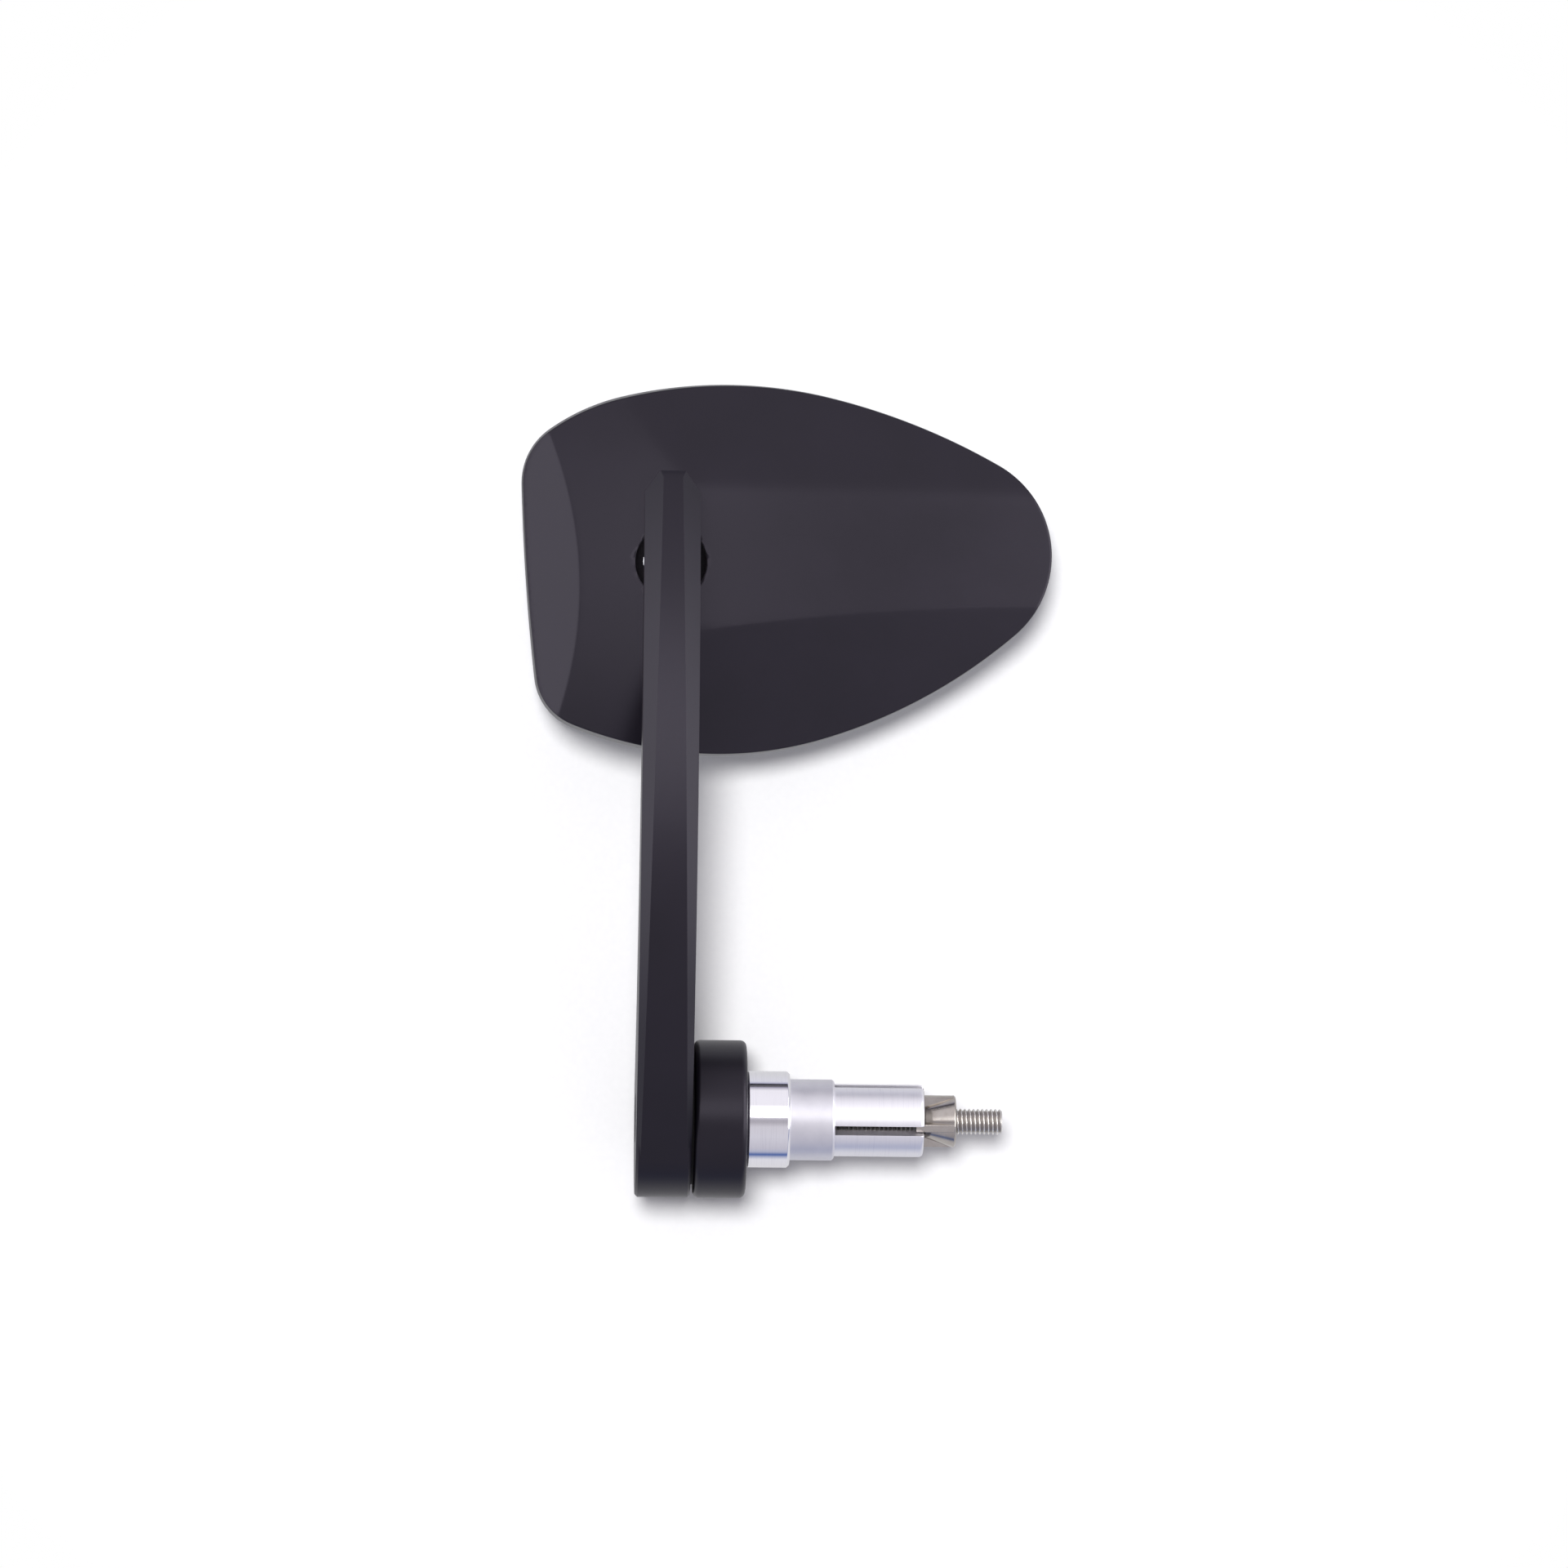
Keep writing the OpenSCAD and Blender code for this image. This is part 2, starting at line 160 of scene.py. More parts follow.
# Finishes
anodisedLook = {"colour": (0.0022, 0.0018, 0.0036, 1), "paler": (0.0036, 0.0028, 0.0056, 1),
                "roughness": 0.37, "spread": 0.05, "cloud": 55, "speckle": 1500,
                "grain": 4200, "grainDepth": 0.0000025, "grainStrength": 0.8,
                "specular": 0.44, "tint": (0.90, 0.83, 1.0, 1)}


def blackAnodised(name, look):
    material, place = newFinish(name)
    cloud = place.noise(look["cloud"], 3)
    grain = place.noise(look["grain"], 2, 0.6)
    speckle = place.noise(look["speckle"], 1)
    return finishWith(material, place, {
        "Base Color": blendColour(cloud.step(0.35, 0.65), look["colour"], look["paler"]),
        "Roughness": look["roughness"] + (speckle - 0.5) * look["spread"] + (cloud - 0.5) * look["spread"],
        "Specular IOR Level": look["specular"], "Specular Tint": look["tint"],
        "Normal": bump(place, grain, look["grainDepth"], look["grainStrength"])})


polishedLook = {"colour": (0.91, 0.90, 0.935, 1), "streak": (0.80, 0.79, 0.84, 1),
                "shadedEndFace": (0.26, 0.25, 0.25, 1), "roughness": 0.075, "bodyRoughness": 0.40,
                "spread": 0.05, "dullSpread": 0.04, "dull": 120,
                "rings": 5200, "broadRings": 900, "ringSqueeze": 0.02, "ringDepth": 0.0000004,
                "endFace": (0.03045, 0.0306), "endRadius": (0.0076, 0.0079)}


def polishedAluminium(name, look):
    # fine turning rings round the bar's axis; the collar is polished, the sleeve behind it only turned
    material, place = newFinish(name)
    x, y, z = place.parts()
    rings = place * (1, look["ringSqueeze"], look["ringSqueeze"])
    fine = rings.noise(look["rings"], 2)
    broad = rings.noise(look["broadRings"], 2)
    dull = place.noise(look["dull"], 2)
    # the sleeve's end face, which faces the cone, is painted dark grey: painted shade that also keeps a lit
    # reflection of it off the cone
    nearEdge, edge = (r ** 2 for r in look["endRadius"])
    endFace = x.step(*look["endFace"]) * (y * y + z * z).step(nearEdge, edge, 1.0, 0.0)
    turnedColour = blendColour(fine.step(0.55, 0.85), look["colour"], look["streak"])
    return finishWith(material, place, {
        "Base Color": blendColour(endFace, turnedColour, look["shadedEndFace"]),
        "Metallic": 1.0,
        "Roughness": x.step(-0.0001, 0.0001, look["roughness"], look["bodyRoughness"])
        + broad.step(0.4, 0.8) * look["spread"] + (dull - 0.5) * look["dullSpread"],
        "Normal": bump(place, fine + broad * 0.5, look["ringDepth"])})


satinLook = {"colour": (0.72, 0.71, 0.755, 1), "paler": (0.78, 0.77, 0.81, 1), "haze": 260,
             "roughness": 0.48, "spread": 0.06, "rings": 7000, "ringSqueeze": 0.05, "ringDepth": 0.0000010}


def satinAluminium(name, look):
    material, place = newFinish(name)
    rings = place * (1, look["ringSqueeze"], look["ringSqueeze"])
    fine = rings.noise(look["rings"], 3, 0.6)
    haze = place.noise(look["haze"], 3)
    return finishWith(material, place, {
        "Base Color": blendColour(haze.step(0.3, 0.7), look["colour"], look["paler"]),
        "Metallic": 1.0,
        "Roughness": look["roughness"] + (fine - 0.5) * look["spread"],
        "Normal": bump(place, fine, look["ringDepth"])})


nickelLook = {"colour": (0.50, 0.465, 0.43, 1), "warm": (0.44, 0.40, 0.36, 1), "cloud": 500,
              "roughness": 0.16, "spread": 0.04, "grain": 3500, "grainDepth": 0.0000006}


def nickelPlate(name, look):
    material, place = newFinish(name)
    cloud = place.noise(look["cloud"], 3)
    return finishWith(material, place, {
        "Base Color": blendColour(cloud.step(0.4, 0.75), look["colour"], look["warm"]),
        "Metallic": 1.0,
        "Roughness": look["roughness"] + cloud.step(0.45, 0.8) * look["spread"],
        "Normal": bump(place, place.noise(look["grain"], 2), look["grainDepth"])})


threadLook = {"crest": (0.86, 0.84, 0.81, 1), "grooveShadeAndOil": (0.42, 0.39, 0.365, 1), "cloud": 1400,
              "roughness": 0.24, "grooveRoughness": 0.4, "spread": 0.1, "grain": 4500, "grainDepth": 0.000001,
              "root": 0.00252, "top": 0.00290, "tip": 0.0486}


def boltSteel(name, look):
    # the thread's grooves and the head's socket are painted darker than the crests: painted shade in the
    # hollows, partly oil and dirt
    material, place = newFinish(name)
    x, y, z = place.parts()
    cloud = place.noise(look["cloud"], 3)
    tipFace = x.step(look["tip"] - 0.0001, look["tip"])
    # 1 on the crests and the tip, 0 in the grooves and the socket, which take the painted shade
    crest = (y * y + z * z).step(look["root"] ** 2, look["top"] ** 2).atLeast(tipFace)
    roughness = crest.step(0, 1, look["grooveRoughness"], look["roughness"])
    return finishWith(material, place, {
        "Base Color": blendColour(crest, look["grooveShadeAndOil"], look["crest"]),
        "Metallic": 1.0,
        "Roughness": roughness + (cloud - 0.5) * look["spread"],
        "Normal": bump(place, place.noise(look["grain"], 2), look["grainDepth"])})


steelLook = {"colour": (0.60, 0.59, 0.58, 1), "mottle": (0.46, 0.45, 0.44, 1), "metallic": 1.0,
             "specular": 0.5, "cloud": 1400, "detail": 3, "blend": (0.42, 0.75),
             "roughness": 0.22, "spread": 0.12, "grain": 4500, "grainDepth": 0.0000015}
polymerLook = {"colour": (0.013, 0.013, 0.014, 1), "mottle": (0.022, 0.022, 0.023, 1), "metallic": 0.0,
               "specular": 0.35, "cloud": 500, "detail": 3, "blend": (0, 1),
               "roughness": 0.62, "spread": 0.1, "grain": 3000, "grainDepth": 0.000006}
nylonLook = {"colour": (0.66, 0.64, 0.56, 1), "mottle": (0.74, 0.72, 0.65, 1), "metallic": 0.0,
             "specular": 0.5, "cloud": 300, "detail": 2, "blend": (0.3, 0.7),
             "roughness": 0.42, "spread": 0.08, "grain": 2600, "grainDepth": 0.000004}
# the wall of the hole round the ball gets a dull dark finish: painted shade for the recess
shadedBoreLook = {"colour": (0.0125, 0.0108, 0.0140, 1), "mottle": (0.0165, 0.0145, 0.0185, 1), "metallic": 0.0,
            "specular": 0.12, "cloud": 400, "detail": 2, "blend": (0, 1),
            "roughness": 0.78, "spread": 0.1, "grain": 2800, "grainDepth": 0.000005}


def cloudedFinish(name, look):
    # two close tones in soft clouds, and a fine grain
    material, place = newFinish(name)
    cloud = place.noise(look["cloud"], look["detail"])
    return finishWith(material, place, {
        "Base Color": blendColour(cloud.step(*look["blend"]), look["colour"], look["mottle"]),
        "Metallic": look["metallic"], "Specular IOR Level": look["specular"],
        "Roughness": look["roughness"] + (cloud - 0.5) * look["spread"],
        "Normal": bump(place, place.noise(look["grain"], 2), look["grainDepth"])})


foamLook = {"colour": (0.030, 0.030, 0.032, 1), "cell": (0.008, 0.008, 0.009, 1), "cellScale": 2600,
            "cellDepth": 0.00006, "roughness": 0.9}


def foamRubber(name, look):
    material, place = newFinish(name)
    cells = place.add("ShaderNodeTexVoronoi", {"feature": "F1"},
                      {"Vector": place, "Scale": look["cellScale"]})
    return finishWith(material, place, {
        "Base Color": blendColour(cells.step(0.1, 0.5), look["cell"], look["colour"]),
        "Roughness": look["roughness"],
        "Normal": bump(place, cells, look["cellDepth"])})


mirrorLook = {"colour": (0.80, 0.825, 0.85, 1), "roughness": 0.012, "haze": 0.03,
              "hazeScale": 45, "dust": 2200}


def mirrorCoat(name, look):
    # silvered glass: a trace of haze stands on it, as on any new mirror
    material, place = newFinish(name)
    haze = place.noise(look["hazeScale"], 3)
    dust = place.noise(look["dust"], 1)
    return finishWith(material, place, {
        "Base Color": look["colour"], "Metallic": 1.0,
        "Roughness": look["roughness"] + haze.step(0.5, 0.8) * look["haze"] * dust.step(0.62, 0.75)})


edgeLook = {"colour": (0.11, 0.17, 0.155, 1), "paler": (0.20, 0.27, 0.25, 1), "grind": 1800,
            "grindDepth": 0.00001, "roughness": 0.45, "spread": 0.2}


def groundEdge(name, look):
    material, place = newFinish(name)
    grind = place.noise(look["grind"], 2)
    return finishWith(material, place, {
        "Base Color": blendColour(grind, look["colour"], look["paler"]),
        "Roughness": look["roughness"] + (grind - 0.5) * look["spread"],
        "Normal": bump(place, grind, look["grindDepth"])})


finishes = {
    "black_anodised": blackAnodised("blackAnodised", anodisedLook),
    "polished_aluminium": polishedAluminium("polishedAluminium", polishedLook),
    "satin_aluminium": satinAluminium("satinAluminium", satinLook),
    "nickel": nickelPlate("nickelPlate", nickelLook),
    "steel": cloudedFinish("platedSteel", steelLook),
    "washer_polymer": cloudedFinish("washerPolymer", polymerLook),
    "liner_nylon": cloudedFinish("linerNylon", nylonLook),
    "foam": foamRubber("foamRubber", foamLook),
    "mirror_glass": mirrorCoat("mirrorCoat", mirrorLook),
}
glassEdge = groundEdge("groundGlassEdge", edgeLook)
shadedBoreFinish = cloudedFinish("mattBore", shadedBoreLook)
threadSteel = boltSteel("boltSteel", threadLook)
print("finishes made:", len(finishes) + len((glassEdge, shadedBoreFinish, threadSteel)))


# Mesh helpers
def newObject(name, data):
    made = bpy.data.objects.new(name, data)
    bpy.context.scene.collection.objects.link(made)
    return made


def asMesh(points, faces):
    mesh = bpy.data.meshes.new("part")
    mesh.from_pydata([Vector(p) for p in points], [], faces)
    return mesh


def settle(piece):
    # turns a piece's modifiers into plain mesh
    graph = bpy.context.evaluated_depsgraph_get()
    made = bpy.data.meshes.new_from_object(piece.evaluated_get(graph))
    piece.modifiers.clear()
    piece.data = made
    return made


def dressPiece(name, mesh, body, slot, replaced, sharp=32):
    mesh.shade_smooth()
    mesh.set_sharp_from_angle(angle=math.radians(sharp))
    mesh.materials.clear()
    mesh.materials.append(finishes[slot])
    piece = newObject(name, mesh)
    # broad faces keep their own shading right up to the small rounds beside them
    broad = piece.modifiers.new("broadFaces", "WEIGHTED_NORMAL")
    broad.mode = "FACE_AREA"
    broad.keep_sharp = True
    settle(piece)
    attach(piece, body)
    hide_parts(*replaced)
    return piece


def joined(name, meshes, body, slot, replaced, sharp=32):
    work = bmesh.new()
    for mesh in meshes:
        work.from_mesh(mesh)
    bmesh.ops.remove_doubles(work, verts=work.verts, dist=0.0005 * mm)
    bmesh.ops.recalc_face_normals(work, faces=work.faces)
    whole = bpy.data.meshes.new(name)
    work.to_mesh(whole)
    work.free()
    return dressPiece(name, whole, body, slot, replaced, sharp)


def newPiece(name, points, faces, body, slot, replaced, sharp=32):
    return joined(name, [asMesh(points, faces)], body, slot, replaced, sharp)


def band(one, two):
    # the faces between two closed loops of as many points
    n = len(one)
    return [(one[k], one[(k + 1) % n], two[(k + 1) % n], two[k]) for k in range(n)]


def hexReach(flats, angle):
    return flats / 2 / math.cos(math.radians((angle + 30) % 60 - 30))


def turned(rows, sides, spin=0.0):
    # rows of (place along X, radius) or (place, radius, hex flats); a radius of 0 closes the end
    points, faces, rings = [], [], []
    for row in rows:
        x, r = row[0], row[1]
        if r == 0:
            rings.append([len(points)])
            points.append((x * mm, 0, 0))
            continue
        ring = []
        for k in range(sides):
            angle = 360 * k / sides
            reach = min(r, hexReach(row[2], angle + spin)) if len(row) > 2 else r
            ring.append(len(points))
            a = math.radians(angle)
            points.append((x * mm, reach * math.cos(a) * mm, reach * math.sin(a) * mm))
        rings.append(ring)
    for low, high in zip(rings, rings[1:]):
        if len(low) == 1:
            faces += [(low[0], high[(k + 1) % sides], high[k]) for k in range(sides)]
        elif len(high) == 1:
            faces += [(low[k], low[(k + 1) % sides], high[0]) for k in range(sides)]
        else:
            faces += band(low, high)
    return points, faces


def eased(rows, radius):
    # breaks each corner of a closed profile with a small round
    result = []
    n = len(rows)
    for i in range(n):
        before, here, after = Vector(rows[i - 1]), Vector(rows[i]), Vector(rows[(i + 1) % n])
        back, ahead = before - here, after - here
        cut = min(radius, back.length * 0.4, ahead.length * 0.4)
        one, two = here + back.normalized() * cut, here + ahead.normalized() * cut
        middle = (one + two) * 0.25 + here * 0.5
        result += [tuple(one), tuple(middle), tuple(two)]
    return result + [result[0]]


def newTree(name, inputs):
    # identifiers set the modifier's values, and wires carry them through the tree
    tree = bpy.data.node_groups.new(name, "GeometryNodeTree")
    tree.interface.new_socket("Geometry", in_out="INPUT", socket_type="NodeSocketGeometry")
    identifiers = {}
    for label, kind, value in inputs:
        socket = tree.interface.new_socket(label, in_out="INPUT", socket_type=kind)
        if value is not None:
            socket.default_value = value
        identifiers[label] = socket.identifier
    tree.interface.new_socket("Geometry", in_out="OUTPUT", socket_type="NodeSocketGeometry")
    entry = Wire(tree, None).add("NodeGroupInput").socket.node
    wires = {s.name: Wire(tree, s) for s in entry.outputs if s.name}
    return tree, identifiers, wires


def endTree(geometry, material):
    real = geometry.add("GeometryNodeRealizeInstances", {}, {0: geometry})
    done = real.add("GeometryNodeSetMaterial", {}, {"Geometry": real, "Material": material})
    done.add("NodeGroupOutput", {}, {0: done})


def runTree(mesh, tree, identifiers, values):
    # runs a tree on a mesh and returns the result as plain mesh
    piece = newObject("shape", mesh)
    modifier = piece.modifiers.new("shape", "NODES")
    modifier.node_group = tree
    for label, value in values.items():
        modifier[identifiers[label]] = value
    made = settle(piece)
    bpy.data.objects.remove(piece)
    return made


def makeRepeatTree():
    # copies the incoming piece round an axis through Centre
    tree, identifiers, given = newTree("repeatRound", [
        ("Count", "NodeSocketInt", 4), ("First Angle", "NodeSocketFloat", 0.0),
        ("Axis", "NodeSocketVector", (1, 0, 0)), ("Centre", "NodeSocketVector", (0, 0, 0)),
        ("Finish", "NodeSocketMaterial", None)])
    count = given["Count"]
    points = count.add("GeometryNodePoints", {}, {"Count": count, "Position": given["Centre"]})
    index = count.add("GeometryNodeInputIndex")
    angle = given["First Angle"] + index * math.tau / count
    turn = count.add("FunctionNodeAxisAngleToRotation", {}, {"Axis": given["Axis"], "Angle": angle})
    copies = count.add("GeometryNodeInstanceOnPoints", {},
                       {"Points": points, "Instance": given["Geometry"], "Rotation": turn})
    endTree(copies, given["Finish"])
    return tree, identifiers


repeatTree, repeatInputs = makeRepeatTree()


def repeatRound(points, faces, count, first, axis, centre, slot):
    return runTree(asMesh(points, faces), repeatTree, repeatInputs, {
        "Count": count, "First Angle": math.radians(first), "Axis": axis,
        "Centre": centre, "Finish": finishes[slot]})


# Expansion sleeve: collar, core and fingers
sleeve = {"collarLength": 10, "collarRadius": 11, "chamfer": 0.6, "radius": 8.25, "bore": 4.4,
          "boltBore": 3.4, "boreTaper": 2, "end": 30.7, "slotStart": 8, "slotWidth": 2.1, "midway": 20,
          "firstSlot": 193, "count": 4, "edge": 0.12}


def sleeveFinger(s):
    # one finger, drawn about angle 0; its flanks are parallel to the slots
    half, flank = 180 / s["count"], s["slotWidth"] / 2
    inner, edge = s["bore"], s["edge"]
    rows = [(s["slotStart"], 0.0), (s["slotStart"] + 0.4, 0.0), (s["midway"], 0.0)]
    # the nose: how far back from the end, and how much thinner
    nose = ((1.0, 0.0), (0.6, 0.1), (0.25, 0.35), (0.05, 0.75), (0, 1.1))
    rows += [(s["end"] - back, cut) for back, cut in nose]

    def edgeAngle(r, relief=0.0):
        return half - math.degrees(math.asin((flank + relief) / r))

    points, loops = [], []
    for x, cut in rows:
        outer = s["radius"] - cut
        top, low = edgeAngle(outer, edge), edgeAngle(inner)
        side = [(outer - edge * 0.3, edge * 0.3), (outer - edge, 0), ((outer + inner) / 2, 0), (inner, 0)]
        spots = [(outer, -top + 2 * top * k / 24) for k in range(25)]
        spots += [(r, edgeAngle(r, relief)) for r, relief in side]
        spots += [(inner, low - 2 * low * k / 12) for k in range(1, 12)]
        spots += [(r, -edgeAngle(r, relief)) for r, relief in reversed(side)]
        loops.append(range(len(points), len(points) + len(spots)))
        for r, angle in spots:
            a = math.radians(angle)
            points.append((x * mm, r * math.cos(a) * mm, r * math.sin(a) * mm))
    faces = []
    for one, two in zip(loops, loops[1:]):
        faces += band(one, two)
    faces += [tuple(reversed(loops[0])), tuple(loops[-1])]
    return points, faces


def makeSleeve(s):
    c, cut, back = s["collarRadius"], s["chamfer"], -s["collarLength"]
    core = eased([(back, s["boltBore"]), (back, c - cut), (back + cut, c), (-cut, c), (0, c - cut),
                  (0, s["radius"]), (s["slotStart"], s["radius"]), (s["slotStart"], s["bore"]),
                  (s["boreTaper"], s["bore"]), (0, s["boltBore"])], 0.1)
    fingers = repeatRound(*sleeveFinger(s), s["count"], s["firstSlot"] + 180 / s["count"],
                          (1, 0, 0), (0, 0, 0), "polished_aluminium")
    return joined("expansionSleeve", [asMesh(*turned(core, 144)), fingers],
                  "bar_end", "polished_aluminium", ["expansion_sleeve"])


makeSleeve(sleeve)


# Centring ring
ring = {"radius": 9.25, "bore": 8.3, "length": 10.2, "chamfer": 0.5, "edge": 0.15}


def makeRing(r):
    end, cut = r["length"], r["chamfer"]
    rows = eased([(0, r["bore"]), (0, r["radius"]), (end - cut, r["radius"]), (end, r["radius"] - cut),
                  (end, r["bore"])], r["edge"])
    return newPiece("centringRing", *turned(rows, 144), "bar_end", "satin_aluminium", ["centring_ring"])


makeRing(ring)
print("sleeve and ring made")


# End disc
disc = {"radius": 18, "left": -22, "right": -10, "edge": 1.4, "bore": 3.4}


def makeDisc(d):
    rows, edge = [(d["left"], d["bore"])], d["edge"]
    for middle, start in ((d["left"] + edge, 180), (d["right"] - edge, 90)):
        for k in range(9):
            a = math.radians(start - 90 * k / 8)
            rows.append((middle + edge * math.cos(a), d["radius"] - edge + edge * math.sin(a)))
    rows += [(d["right"], d["bore"]), (d["left"], d["bore"])]
    return newPiece("endDisc", *turned(rows, 180), "bar_end", "black_anodised", ["end_disc"])


makeDisc(disc)


# Cone nut with its fins
cone = {"start": 30, "length": 8, "large": 6, "small": 3.48, "bore": 3.05,
        "chamfer": 0.4, "boreChamfer": 0.35, "finWidth": 1.8, "finFoot": 3.12, "finStart": 28.8,
        "finEnd": 37.6, "finEdge": 0.14, "count": 4, "firstFin": 193}


def coneFin(c):
    work = bmesh.new()
    half, foot = c["finWidth"] / 2, c["finFoot"]
    crown = [(math.sqrt(c["large"] ** 2 - (half * k / 4) ** 2), half * k / 4) for k in range(-4, 5)]
    section = [(foot, -half)] + crown + [(foot, half)]
    front = [work.verts.new((c["finStart"] * mm, y * mm, z * mm)) for y, z in section]
    back = [work.verts.new((c["finEnd"] * mm, y * mm, z * mm)) for y, z in section]
    for corners in band(front, back) + [front, list(reversed(back))]:
        work.faces.new(corners)
    bmesh.ops.recalc_face_normals(work, faces=work.faces)
    work.normal_update()
    sharp = [e for e in work.edges if e.calc_face_angle(0) > math.radians(40)]
    bmesh.ops.bevel(work, geom=sharp, offset=c["finEdge"] * mm, segments=2, profile=0.5, affect="EDGES")
    points = [tuple(v.co) for v in work.verts]
    faces = [tuple(v.index for v in f.verts) for f in work.faces]
    work.free()
    return points, faces


def makeCone(c):
    end, cut, boreCut = c["start"] + c["length"], c["chamfer"], c["boreChamfer"]
    rows = eased([(c["start"], c["bore"]), (c["start"], c["small"]), (end - cut, c["large"]),
                  (end, c["large"] - cut), (end, c["bore"] + boreCut), (end - boreCut, c["bore"])], 0.08)
    fins = repeatRound(*coneFin(c), c["count"], c["firstFin"], (1, 0, 0), (0, 0, 0), "nickel")
    return joined("coneNut", [asMesh(*turned(rows, 120)), fins], "cone", "nickel", ["expansion_cone"])


makeCone(cone)
print("disc and cone nut made")


# Clamp bolt with its thread
bolt = {"head": -34.8, "seat": -28.8, "headRadius": 5, "socket": 5, "socketDepth": 3.5, "drill": 2.45,
        "mouth": 3.4, "neck": 3.15, "end": 48.7, "major": 2.97, "minor": 2.40, "pitch": 1.0,
        "threadStart": 9.0, "runIn": 1.2, "threadSamples": 10, "tipChamfer": 0.55, "sides": 48,
        "crown": ((0, 0.6), (0.12, 0.25), (0.35, 0.07), (0.7, 0))}  # depth, and how far inside the radius


def makeThreadTree():
    tree, identifiers, given = newTree("screwThread", [
        ("Start", "NodeSocketFloat", 0.0), ("End", "NodeSocketFloat", 0.04),
        ("Pitch", "NodeSocketFloat", 0.001), ("Major Radius", "NodeSocketFloat", 0.003),
        ("Minor Radius", "NodeSocketFloat", 0.0024), ("Tip Chamfer", "NodeSocketFloat", 0.00055),
        ("Run In", "NodeSocketFloat", 0.0012), ("Rows", "NodeSocketInt", 400),
        ("Sides", "NodeSocketInt", 48), ("Finish", "NodeSocketMaterial", None)])
    rows, start, end, major = (given[name] for name in ("Rows", "Start", "End", "Major Radius"))
    grid = rows.add("GeometryNodeMeshGrid", {}, {
        "Size X": 1.0, "Size Y": 1.0, "Vertices X": rows + 1, "Vertices Y": given["Sides"] + 1})
    u, v, unused = rows.add("GeometryNodeInputPosition", kind="vector").parts()
    along = start + (u + 0.5) * (end - start)
    turn = v + 0.5
    phase = (along / given["Pitch"] - turn + 0.5).fraction()
    flank = (phase * 2.0 - 1.0).size().step(0.14, 0.80)
    depth = (major - given["Minor Radius"]) * (flank * (along - start).step(0.0, given["Run In"]))
    radius = (major - depth).atMost(major - given["Tip Chamfer"] + (end - along))
    angle = turn * math.tau
    across, up = radius * angle.work("COSINE", angle), radius * angle.work("SINE", angle)
    spot = along.add("ShaderNodeCombineXYZ", {}, {0: along, 1: across, 2: up}, kind="vector")
    moved = grid.add("GeometryNodeSetPosition", {}, {"Geometry": grid, "Position": spot})
    both = moved.add("GeometryNodeJoinGeometry", {}, {0: [moved, given["Geometry"]]})
    closed = both.add("GeometryNodeMergeByDistance", {}, {"Geometry": both, "Distance": 0.002 * mm})
    endTree(closed, given["Finish"])
    return tree, identifiers


def makeBolt(b):
    # a socket radius past the hexagon's corners leaves the hexagon whole
    x0, seat, wide, flats, major = b["head"], b["seat"], b["headRadius"], b["socket"], b["major"]
    deep = x0 + b["socketDepth"]
    shank = [(deep + 0.6, 0), (deep, b["drill"], flats), (x0 + 0.2, b["mouth"], flats),
             (x0, b["mouth"], flats + 0.4)]
    shank += [(x0 + back, wide - inside) for back, inside in b["crown"]]
    shank += [(seat - 0.2, wide), (seat, wide - 0.2), (seat, b["neck"]), (seat + 0.25, major),
              (b["threadStart"], major)]
    points, faces = turned(shank, b["sides"])
    tipPoints, tipFaces = turned([(b["end"], major - b["tipChamfer"]), (b["end"], 0)], b["sides"])
    faces += [tuple(i + len(points) for i in face) for face in tipFaces]
    made = runTree(asMesh(points + tipPoints, faces), *makeThreadTree(), {
        "Start": b["threadStart"] * mm, "End": b["end"] * mm, "Pitch": b["pitch"] * mm,
        "Major Radius": major * mm, "Minor Radius": b["minor"] * mm, "Tip Chamfer": b["tipChamfer"] * mm,
        "Run In": b["runIn"] * mm, "Sides": b["sides"],
        "Rows": int((b["end"] - b["threadStart"]) * b["threadSamples"]),
        "Finish": finishes["steel"]})
    piece = joined("clampBolt", [made], "bolt", "steel", ["clamp_bolt"], 40)
    piece.data.materials[0] = threadSteel
    return piece


makeBolt(bolt)
print("clamp bolt made")


# Where the ball joint sits, in mm
ballCentre = (-28.9, -5, 127)


# Ball stud
stud = {"ball": 5, "stem": 2.9, "seat": 13, "hex": 12, "corner": 0.4, "hexLength": 2.6,
        "thread": 3, "end": 21.9}


def makeStud(s):
    ball, stem, seat, flats, thread = s["ball"], s["stem"], s["seat"], s["hex"], s["thread"]
    stemAngle = math.degrees(math.asin(stem / ball))
    rows = [(-ball, 0)]
    for k in range(1, 33):
        a = math.radians((180 - stemAngle) * k / 32)
        rows.append((-ball * math.cos(a), ball * math.sin(a)))
    front, corner = seat - s["hexLength"], flats / 2 + s["corner"]
    rows += [(front - 0.35, stem), (front - 0.1, stem + 0.1), (front, stem + 0.35), (front, flats / 2 - 0.1)]
    # the hexagon's front corners are rounded off
    for drop, reach in ((0.04, 0.1), (0.2, 0.33), (0.4, 0.7), (0.7, 1.2)):
        rows.append((front + drop, min(flats / 2 + reach, corner), flats))
    rows += [(seat - 0.15, corner, flats), (seat, corner - 0.15, flats - 0.3), (seat, thread),
             (s["end"] - 0.5, thread), (s["end"], thread - 0.5), (s["end"], 0)]
    points, faces = turned(rows, 96, 30)
    # the stud's axis runs from the ball towards the arm, which is -Y
    x, y, z = (place * mm for place in ballCentre)
    placed = [(x + p[1], y - p[0], z + p[2]) for p in points]
    return newPiece("ballStud", placed, faces, "arm", "polished_aluminium", ["ball_stud"])


makeStud(stud)


